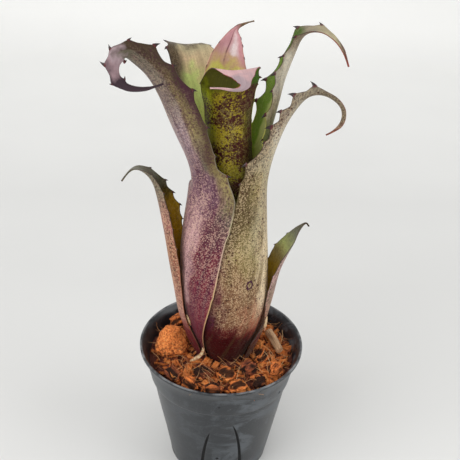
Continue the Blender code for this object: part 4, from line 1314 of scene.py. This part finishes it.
def pot_material(settings):
    """Blue-black plastic with dried water marks, splashed grit and a painted lip highlight."""
    pot = Finish("pot_plastic")
    place = pot.object_place()
    x, _, z = pot.parts(place)
    sweep = pot.drift(place, (34.0, 34.0, 40.0), detail=4.0, roughness=0.6, distortion=1.8)
    tide = pot.drift(place, (26.0, 26.0, 46.0), detail=5.0, roughness=0.6, distortion=2.2)
    wiped = pot.spread(x, -0.012, 0.020, 0.30, 1.0)
    film = wiped * pot.spread(sweep * 0.5 + tide * 0.5, 0.47, 0.57)
    streak = wiped * pot.spread(abs(tide - 0.52), 0.014, 0.0, 0.0, 0.5)
    tone, distance = pot.cells(place, 170.0)
    grit = pot.spread(pot.spread(tone, 0.72, 1.0, -0.05, 0.20) - distance, -0.03, 0.03, 0.0, 0.9)
    dust = pot.spread(pot.noise(place, 1500.0, 2.0), 0.66, 0.74, 0.0, 0.35)
    # painted highlight: a lighter, broken line along the top of the lip
    lip = pot.spread(z, (POT_HEIGHT - 0.9) * MM, (POT_HEIGHT - 0.1) * MM, 0.0, 0.55)
    lip_highlight = lip * pot.spread(pot.noise(place, 160.0, 3.0), 0.35, 0.65)
    # painted shade: the grooves round the flutes darken to near black
    shaded_groove = pot.spread(pot.attribute("grime"), 0.10, 0.55)
    color = (*settings.plastic_color, 1.0)
    for share, layer in (
            (film, (0.072, 0.082, 0.093, 1.0)), (streak, (0.10, 0.112, 0.125, 1.0)),
            (grit, (0.006, 0.006, 0.007, 1.0)), (dust, (0.20, 0.20, 0.19, 1.0)),
            (lip_highlight, (0.30, 0.31, 0.32, 1.0)), (shaded_groove, grey(0.002))):
        color = pot.blend(share, color, layer)
    worn = film * 0.16 + pot.math("MAXIMUM", shaded_groove, grit) * 0.6
    orange_peel = pot.bumped(pot.noise(place, 700.0, 2.0), 0.00012, 0.35)
    return pot.shade(base_color=color, normal=pot.bumped(grit, 0.0003, 0.5, normal=orange_peel),
                     specular_ior_level=0.55, roughness=worn + settings.roughness)


# ---- potting mix and chips ---------------------------------------------------------------------
def inner_wall(height):
    """Radius of the pot's inner wall."""
    inside = pot_profile()[0][2:]
    radii, heights = zip(*inside)
    return float(np.interp(height, heights, radii))


def mix_relief(x, y):
    """Height of the rough top of the mix, in millimetres from its mean."""
    radius = math.hypot(x, y)
    lumps = noise.fractal(Vector((x * 0.13, y * 0.13, 3.0)), 0.9, 2.1, 4)
    inner, outer, drop = MIX_SINKS
    return lumps * 1.5 - float(smoothstep(inner, outer, radius)) * drop - 0.6


def add_mix():
    edge = inner_wall(MIX_TOP) - MIX_GAP
    top = [(float(radius), MIX_TOP) for radius in np.linspace(0.0, edge, MIX_RINGS)]
    side = [(inner_wall(height) - MIX_GAP, height) for height in MIX_SIDE]
    base = [(MIX_FOOT, FLOOR + MIX_GAP), (0.0, FLOOR + MIX_GAP)]
    points, faces = turned_mesh(top + side + base, MIX_STEPS)
    raised = []
    for x, y, z in points:
        if z >= MIX_TOP - 0.01:
            z += mix_relief(x, y)
        raised.append((x * MM, y * MM, z * MM))
    mix = mesh_object("potting_mix_finished", raised, faces)
    outward(mix.data)
    dress(mix, husk_material("husk_mix", -0.01), "husk_mix", "potting_mix")


def husk_material(name, brightness, fibrous=0.52):
    """Coconut husk: bright dry pith over dark damp rind, with a fibrous grain."""
    settings = bpy.context.scene.hohenbergia.husk
    husk = Finish(name)
    tone = husk.attribute("tone")
    place = husk.object_place()
    strands = husk.drift(husk.attribute("grain", "Vector"), (130.0, 1700.0, 1600.0),
                         roughness=0.65, distortion=0.3)
    pores = husk.noise(place, 420.0 if fibrous > 0.3 else 800.0, 4.0, 0.7)
    patches = husk.noise(place, 110.0, 3.0, 0.55)
    mixed = strands * fibrous + pores * (0.84 - fibrous) + patches * 0.16
    level = mixed + (tone - 0.5) * 0.26 + (brightness - 0.12)
    bright, dark = (*settings.bright_color, 1.0), (*settings.dark_color, 1.0)
    middle = tuple(0.5 * (a + b) for a, b in zip(bright, dark))
    color = husk.ramp(level, ((0.36, (0.012, 0.006, 0.004, 1.0)), (0.45, dark), (0.53, middle),
                              (0.62, bright), (0.74, (0.86, 0.42, 0.13, 1.0))))
    ruddy = husk.blend(0.5, color, (0.20, 0.055, 0.035, 1.0))
    color = husk.blend(husk.spread(tone, *RED_TONE), color, ruddy)
    # painted shade: the clefts torn into a chip darken to near black
    shaded_hollows = husk.spread(husk.attribute("hollow"), 0.15, 0.75, 0.0, 0.92)
    color = husk.blend(shaded_hollows, color, (0.010, 0.005, 0.004, 1.0))
    if fibrous < 0.3:
        height = husk.parts(place)[2]
        pits = (husk.spread(height, (MIX_TOP + 16) * MM, MIX_TOP * MM)
                * husk.spread(husk.noise(place, 520.0, 3.0, 0.6), 0.50, 0.58, 0.0, 0.9))
        color = husk.blend(pits, color, dark)
    return husk.shade(base_color=color, roughness=0.92, specular_ior_level=0.25,
                      normal=husk.bumped(mixed, 0.0016, 0.9))


def grained(name, along, scale, stops, relief, rough, **grain):
    """A dry finish coloured by noise that is stretched along its grain."""
    dry = Finish(name)
    place = dry.attribute(along, "Vector") if along else dry.object_place()
    lines = dry.drift(place, scale, **grain)
    return dry.shade(base_color=dry.ramp(lines, stops), roughness=rough,
                     normal=dry.bumped(lines, *relief))


def add_twig(node_name):
    """A short knobbly piece of twig with broken ends, laid where the frame keeps it."""
    centre, heading = chip_frame(node_name)
    low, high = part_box(node_name)
    ahead = Vector((math.cos(heading), math.sin(heading), 0.0))
    length = (high - low).dot(Vector((abs(ahead.x), abs(ahead.y), 0.0))) * 0.98
    radius = (high.z - low.z) * 0.42
    beside, above = Vector((-ahead.y, ahead.x, 0.0)), Vector((0.0, 0.0, 1.0))
    steps = 28
    shares = (-0.5, -0.497, -0.48, *np.linspace(-0.44, 0.44, 22), 0.48, 0.497, 0.5)
    sizes = (0.55, 0.86, 0.97, *[1.0] * 22, 0.95, 0.82, 0.5)
    points, grains = [], []
    for share, size in zip(shares, sizes):
        for step in range(steps):
            angle = math.tau * step / steps
            knob = 1 + 0.13 * noise.noise(Vector((share * 5, math.cos(angle), math.sin(angle))))
            knob += 0.05 * noise.noise(Vector((share * 22, angle * 3, 4.0)))
            out = beside * math.cos(angle) + above * math.sin(angle)
            out *= radius * size * knob * (1 - 0.16 * share)
            bow = above * (0.0006 * math.cos(share * 3.0))
            points.append(Vector(centre) + (ahead * (share * length) + out + bow))
            grains.append((share * length, math.cos(angle) * radius, math.sin(angle) * radius))
    faces = grid_faces(len(shares), steps, closed=True)
    last = (len(shares) - 1) * steps
    faces += [tuple(range(steps - 1, -1, -1)), tuple(range(last, last + steps))]
    twig = mesh_object(node_name + "_dry", points, faces)
    outward(twig.data)
    store(twig.data, "grain", grains, "FLOAT_VECTOR")
    wood = grained("dry_twig", "grain", (120.0, 1300.0, 1300.0), (
        (0.30, (0.16, 0.075, 0.035, 1)), (0.45, (0.36, 0.20, 0.105, 1)),
        (0.60, (0.56, 0.36, 0.20, 1))), (0.0006, 0.6), 0.8, roughness=0.6, distortion=0.3)
    dress(twig, wood, "husk_chip", node_name)


def chip_frame(node_name):
    """Centre and long direction of a chip, read from the frame's solid."""
    corners = np.array([vertex.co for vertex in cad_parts[node_name].data.vertices])
    centre = corners.mean(0)
    flat = corners[:, :2] - centre[:2]
    _, _, axes = np.linalg.svd(flat - flat.mean(0), full_matrices=False)
    return centre, math.atan2(axes[0, 1], axes[0, 0])


def add_chip(node_name, settings, finish, dice):
    """A broken chip: the frame's solid, rounded, then torn along its grain."""
    shell = bmesh.new()
    shell.from_mesh(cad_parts[node_name].data)
    bmesh.ops.remove_doubles(shell, verts=shell.verts, dist=0.00001)
    mesh = bpy.data.meshes.new(node_name)
    shell.to_mesh(mesh)
    shell.free()
    chip = link(bpy.data.objects.new(node_name + "_torn", mesh))
    remesh = chip.modifiers.new("voxels", "REMESH")
    remesh.mode = "VOXEL"
    remesh.voxel_size = settings.voxel
    soften = chip.modifiers.new("soften", "SMOOTH")
    soften.factor = 0.5
    soften.iterations = 3
    freeze(chip)

    centre, heading = chip_frame(node_name)
    turn = Matrix.Rotation(-heading, 3, "Z")
    shift = Vector((dice.uniform(0, 90), dice.uniform(0, 90), dice.uniform(0, 90)))
    grains = [turn @ (vertex.co - Vector(centre)) + shift for vertex in chip.data.vertices]
    normals = [vertex.normal.copy() for vertex in chip.data.vertices]
    lump = node_name == "husk_lump"
    torn = 0.15 if lump else 1.0
    hollow_shades = []
    for vertex, normal, grain in zip(chip.data.vertices, normals, grains):
        strand = noise.noise(Vector((grain.x * 50, grain.y * 760, grain.z * 700)))
        cleft = abs(noise.noise(Vector((grain.x * 30, grain.y * 240, grain.z * 230))))
        crumb = noise.fractal(grain * 420, 0.8, 2.0, 2) * (0.45 - 0.25 * torn)
        ragged = noise.noise(grain * 130) * 0.6
        if lump:
            ragged += noise.noise(grain * 75) * LUMP_KNOBS
        tear = torn * (strand * 1.3 - cleft * 2.8 + 0.4)
        # how deep the tear cuts in, where the finish paints shade
        hollow_shades.append(max(0.0, torn * (cleft * 2.4 - strand * 0.7)))
        vertex.co += normal * (tear + crumb + ragged + 0.3) * MM
    tone = dice.uniform(0.22, 0.74)
    store(chip.data, "grain", grains, "FLOAT_VECTOR")
    store(chip.data, "hollow", hollow_shades)
    store(chip.data, "tone", np.full(len(hollow_shades), LUMP_TONE if lump else tone))
    dress(chip, finish, "husk_chip", node_name)


def litter_tree():
    """Geometry Nodes: small torn chips scattered on a surface at all angles."""
    tree = Growth("Husk Litter", spacing=0.003, smallest=0.0014, largest=0.0034,
                  roughness=0.0012, seed=0, husk="Material")
    given = tree.given
    points = tree.spots("POISSON", distance_min=given["spacing"], density_max=200000.0)
    shard = tree.out("GeometryNodeMeshCube", {
        "Size": (2.0, 2.0, 2.0), "Vertices X": 4, "Vertices Y": 3, "Vertices Z": 2}, "Mesh")
    grain = tree.vector_math("SCALE", tree.place(), scale=0.004)
    turn = tree.dice((-0.7, -0.6, 0.0), (0.7, 0.6, math.tau), "FLOAT_VECTOR")
    shape = tree.dice((0.8, 0.16, 0.12), (1.8, 0.55, 0.34), "FLOAT_VECTOR")
    size = tree.dice(given["smallest"], given["largest"])
    placed = tree.copies(points, tree.stored(shard, "grain", grain, "FLOAT_VECTOR"), turn,
                         tree.vector_math("SCALE", shape, scale=size))
    torn = tree.shaken(tree.toned(placed, 0.12, 0.84), 420.0, 3.0, (0.5, 0.5, 0.5),
                       given["roughness"])
    tree.finish(tree.painted(torn, given["husk"]))
    return tree


def fibre_tree():
    """Geometry Nodes: curled husk fibres scattered on a surface."""
    tree = Growth("Husk Fibres", density=80000.0, length=0.008, width=0.00016, curl=0.006,
                  seed=0, fibre="Material")
    given = tree.given
    points = tree.spots("RANDOM", density=given["density"])
    cone = tree.out("GeometryNodeMeshCone", {
        "Vertices": 4, "Side Segments": 9, "Fill Segments": 1,
        "Radius Top": given["width"] * 0.45, "Radius Bottom": given["width"],
        "Depth": given["length"]}, "Mesh")
    share = tree.parts(tree.place())[2] / given["length"]
    turn = tree.dice((0.7, -0.4, 0.0), (1.5, 0.4, math.tau), "FLOAT_VECTOR")
    placed = tree.copies(points, tree.stored(cone, "fibre_way", share), turn,
                         tree.dice(0.25, 1.0))
    curled = tree.shaken(tree.toned(placed, 0.0, 1.0), 130.0, 1.0, (0.5, 0.5, 0.36),
                         tree.named("fibre_way") * given["curl"])
    tree.finish(tree.painted(curled, given["fibre"]))
    return tree


def fibre_material():
    fibre = Finish("husk_fibre")
    color = fibre.ramp(fibre.attribute("tone"), (
        (0.0, (0.16, 0.05, 0.02, 1)), (0.5, (0.46, 0.17, 0.055, 1)),
        (0.85, (0.60, 0.29, 0.11, 1)), (1.0, (0.72, 0.48, 0.24, 1))))
    return fibre.shade(base_color=color, roughness=0.8)


def scattered(name, patch, tree, **inputs):
    """Grow a tree on an open ring that lies on the mix."""
    outer, rings, steps, lift = patch
    points = []
    for radius in np.linspace(BARE_MIDDLE, outer, rings):
        for angle in np.linspace(0.0, math.tau, steps, endpoint=False):
            x, y = AXIS_X * 0.5 + radius * math.cos(angle), radius * math.sin(angle)
            points.append((x * MM, y * MM, (MIX_TOP + mix_relief(x, y) + lift) * MM))
    made = mesh_object(name, points, grid_faces(rings, steps, closed=True))
    return tree.grow(made, **inputs)


# ---- dry bits ----------------------------------------------------------------------------------
# papery remains of old sheaths at the foot of the plant:
# (name, points along it, half width, cup of its cross-section)
DRY_BITS = (
    ("dry_sheath_strip", ((-11.5, -10.6, 89.4), (-10.9, -13.6, 87.4), (-13.0, -17.6, 85.6),
                          (-18.0, -21.4, 84.8)), 1.2, 0.5),
    ("dry_scale_left", ((-18.6, -12.4, 104.0), (-19.6, -12.8, 107.5), (-20.8, -12.4, 111.5)),
     1.3, 0.4),
    ("dry_scale_right", ((25.6, -11.4, 101.0), (26.2, -11.0, 105.0), (26.8, -9.6, 110.0)),
     1.6, 0.5),
)


def add_dry_bit(name, points, half_width, cup, paper):
    """A thin curled strip with pointed ends."""
    keys = np.array(points, float)
    length = np.r_[0.0, np.cumsum(np.linalg.norm(np.diff(keys, axis=0), axis=1))]
    along = np.linspace(0.0, length[-1], 28)
    line = smooth_path(length, keys, unit(keys[1] - keys[0]), along)
    outward_way = unit(line * (1, 1, 0) + (0.0, 0.0, 8.0))
    way = unit(np.gradient(line, axis=0))
    side = unit(np.cross(way, outward_way))
    up = np.cross(side, way)
    width = half_width * np.sin(np.pi * np.clip(along / length[-1], 0.03, 0.97)) ** 0.6
    grid = []
    for row in range(len(along)):
        for across in np.linspace(-1, 1, 7):
            wobble = 0.25 * noise.noise(Vector((row * 0.4, across * 2, half_width)))
            grid.append(line[row] + side[row] * across * width[row]
                        - up[row] * (cup * across ** 2 - wobble))
    strip = mesh_object(name, np.array(grid) * MM, grid_faces(len(along), 7))
    thicken(strip, PAPER)
    freeze(strip)
    outward(strip.data)
    dress(strip, paper, "husk_chip")


# ---- stage -------------------------------------------------------------------------------------
CAMERA_PLACE = Vector((0.0, -0.347, 0.353))
CAMERA_PITCH = 28.8
CAMERA_YAW = 0.485
CAMERA_ROLL = 2.07
CAMERA_LENS = 54.78

# (name, place, target, size) of the soft boxes; each has its power in the stage's settings
SOFT_BOXES = (
    ("key", (-0.85, -0.55, 0.90), (0, 0, 0.14), 1.0),
    ("rim", (0.95, -0.25, 0.60), (0, 0, 0.16), 0.8),
    ("top", (0.0, 0.35, 1.45), (0, 0.3, 0.0), 1.0),
    ("front", (-0.25, -1.0, 0.55), (0, 0, 0.15), 0.6),
)

# painted light: brightness of the floor and backdrop by depth and height
FLOOR_LIGHT = ((0.0, 0.89), (0.10, 0.87), (0.14, 0.91), (0.18, 0.92), (0.28, 1.05), (0.40, 1.18),
               (0.60, 1.36))


def add_camera():
    pitch, yaw, roll = (math.radians(angle) for angle in (CAMERA_PITCH, CAMERA_YAW, CAMERA_ROLL))
    ahead = Vector((math.sin(yaw) * math.cos(pitch), math.cos(yaw) * math.cos(pitch),
                    -math.sin(pitch)))
    level = Vector((math.cos(yaw), -math.sin(yaw), 0.0))
    above = level.cross(ahead)
    right = level * math.cos(roll) + above * math.sin(roll)
    up = above * math.cos(roll) - level * math.sin(roll)
    data = bpy.data.cameras.new("camera")
    data.lens = CAMERA_LENS
    data.sensor_width = 36.0
    data.clip_start = 0.01
    camera = link(bpy.data.objects.new("camera", data))
    turn = Matrix((right, up, -ahead)).transposed()
    camera.matrix_world = Matrix.Translation(CAMERA_PLACE) @ turn.to_4x4()
    bpy.context.scene.camera = camera


def add_soft_box(name, place, target, size, power):
    data = bpy.data.lights.new(name, "AREA")
    data.shape = "SQUARE"
    data.size = size
    data.energy = power
    lamp = link(bpy.data.objects.new(name, data))
    facing = (Vector(target) - Vector(place)).to_track_quat("-Z", "Y")
    lamp.matrix_world = Matrix.Translation(place) @ facing.to_matrix().to_4x4()


def add_sweep(color):
    """Floor and backdrop in one sheet with a wide cove between them."""
    depth, wall, radius, half, steps = 0.9, 1.6, 0.6, 2.2, 16
    line = [(-half, 0.0), (depth, 0.0)]
    for step in range(1, steps + 1):
        angle = math.pi / 2 * step / steps
        line.append((depth + radius * math.sin(angle), radius * (1 - math.cos(angle))))
    line.append((depth + radius, wall))
    points = [(x, y, z) for y, z in line for x in (-half, half)]
    sweep = mesh_object("floor", points, grid_faces(len(line), 2))
    sweep.data.shade_smooth()
    floor = Finish("pale_floor")
    place = floor.object_place()
    _, y, z = floor.parts(place)
    cloudy = floor.spread(floor.noise(place, 5.0, 2.0), 0.3, 0.7, -0.012, 0.012)
    # painted light: the sheet gets brighter towards the back and up the backdrop
    painted_light_tones = floor.ramp(y * 0.5 + z + cloudy, [(at, grey(tone)) for at, tone in FLOOR_LIGHT])
    sweep.data.materials.append(floor.shade(
        base_color=floor.blend(1.0, (*color, 1.0), painted_light_tones, "MULTIPLY"), roughness=0.6,
        specular_ior_level=0.2))


# ---- operators ---------------------------------------------------------------------------------
class HOHENBERGIA_OT_nursery_pot(bpy.types.Operator):
    """Build the fluted nursery pot with its lip, collar and drain holes"""
    bl_idname = "hohenbergia.nursery_pot"
    bl_label = "Nursery Pot"

    def execute(self, context):
        add_pot(context.scene.hohenbergia.pot)
        return {"FINISHED"}


class HOHENBERGIA_OT_potting_mix(bpy.types.Operator):
    """Build the bed of fine husk that fills the pot"""
    bl_idname = "hohenbergia.potting_mix"
    bl_label = "Potting Mix"

    def execute(self, context):
        add_mix()
        return {"FINISHED"}


class HOHENBERGIA_OT_husk_chips(bpy.types.Operator):
    """Tear the husk chips and scatter litter and fibres between them"""
    bl_idname = "hohenbergia.husk_chips"
    bl_label = "Husk Chips"

    def execute(self, context):
        wanted = context.scene.hohenbergia.husk
        dice = random.Random(wanted.seed)
        husk = husk_material("husk_chip", 0.18)
        pith = husk_material("husk_pith", 0.17, 0.1)
        for name in CHIP_NODES:
            if name == "husk_stick":
                add_twig(name)
            else:
                add_chip(name, wanted, pith if name == "husk_lump" else husk, dice)
        litter = scattered("husk_litter", LITTER_PATCH, litter_tree(),
                           spacing=wanted.litter_spacing, seed=wanted.seed, husk=husk)
        litter.data.shade_smooth()
        settle(litter, "husk_chip")
        fibres = scattered("husk_fibres", FIBRE_PATCH, fibre_tree(),
                           density=wanted.fibre_density, length=wanted.fibre_length,
                           seed=wanted.seed, fibre=fibre_material())
        settle(fibres, "husk_chip")
        return {"FINISHED"}


class HOHENBERGIA_OT_stem(bpy.types.Operator):
    """Give the short hidden stem its finish"""
    bl_idname = "hohenbergia.stem"
    bl_label = "Stem"

    def execute(self, context):
        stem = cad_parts["stem"]
        stem.data.materials.clear()
        stem.data.materials.append(grained(
            "stem_flesh", None, (60.0, 60.0, 500.0),
            ((0.4, paint("wine")), (0.6, paint("umber"))), (0.0006, 0.6), 0.75, detail=4.0))
        return {"FINISHED"}


class HOHENBERGIA_OT_leaves(bpy.types.Operator):
    """Build the six leaves of the urn and the two small leaves at its foot"""
    bl_idname = "hohenbergia.leaves"
    bl_label = "Leaves"

    def execute(self, context):
        tree, horn = spine_tree(), horn_material()
        for name in LEAVES:
            add_leaf(name, context.scene.hohenbergia.leaves, tree, horn)
        return {"FINISHED"}


class HOHENBERGIA_OT_dry_bits(bpy.types.Operator):
    """Add the papery remains of old sheaths at the plant's foot"""
    bl_idname = "hohenbergia.dry_bits"
    bl_label = "Dry Bits"

    def execute(self, context):
        paper = grained("dry_paper", None, (900.0, 900.0, 220.0),
                        ((0.35, paint("salmon")), (0.5, paint("tan")), (0.62, paint("cream"))),
                        (0.0004, 0.5), 0.7)
        for bit in DRY_BITS:
            add_dry_bit(*bit, paper)
        return {"FINISHED"}


class HOHENBERGIA_OT_stage(bpy.types.Operator):
    """Set up the floor, the soft lights and the camera"""
    bl_idname = "hohenbergia.stage"
    bl_label = "Stage"

    def execute(self, context):
        stage = context.scene.hohenbergia.stage
        add_sweep(stage.floor_color)
        for name, place, target, size in SOFT_BOXES:
            add_soft_box(name + "_light", place, target, size, getattr(stage, name + "_power"))
        world = bpy.data.worlds.new("studio")
        world.use_nodes = True
        sky = world.node_tree.nodes["Background"]
        sky.inputs["Color"].default_value = grey(1.0)
        sky.inputs["Strength"].default_value = stage.ambient
        bpy.context.scene.world = world
        bpy.context.scene.view_settings.view_transform = "Standard"
        add_camera()
        return {"FINISHED"}


class HOHENBERGIA_PT_sidebar(bpy.types.Panel):
    """Sidebar panel that lists the pieces and their settings"""
    bl_idname = "HOHENBERGIA_PT_sidebar"
    bl_label = "Hohenbergia"
    bl_space_type = "VIEW_3D"
    bl_region_type = "UI"
    bl_category = "Hohenbergia"

    def draw(self, context):
        settings = context.scene.hohenbergia
        for operator in OPERATORS:
            self.layout.operator(operator.bl_idname)
        for group in (settings.pot, settings.husk, settings.leaves, settings.stage):
            box = self.layout.box()
            for name in group.bl_rna.properties.keys():
                if name not in ("rna_type", "name"):
                    box.prop(group, name)


OPERATORS = (
    HOHENBERGIA_OT_nursery_pot,
    HOHENBERGIA_OT_potting_mix,
    HOHENBERGIA_OT_husk_chips,
    HOHENBERGIA_OT_stem,
    HOHENBERGIA_OT_leaves,
    HOHENBERGIA_OT_dry_bits,
    HOHENBERGIA_OT_stage,
)
CLASSES = (PotSettings, HuskSettings, LeafSettings, StageSettings, HohenbergiaSettings,
           *OPERATORS, HOHENBERGIA_PT_sidebar)


def register():
    for item in CLASSES:
        bpy.utils.register_class(item)
    bpy.types.Scene.hohenbergia = PointerProperty(type=HohenbergiaSettings)


def unregister():
    del bpy.types.Scene.hohenbergia
    for item in reversed(CLASSES):
        bpy.utils.unregister_class(item)


def main():
    register()
    for operator in OPERATORS:
        group, name = operator.bl_idname.split(".")
        getattr(getattr(bpy.ops, group), name)()


if __name__ == "__main__":
    main()
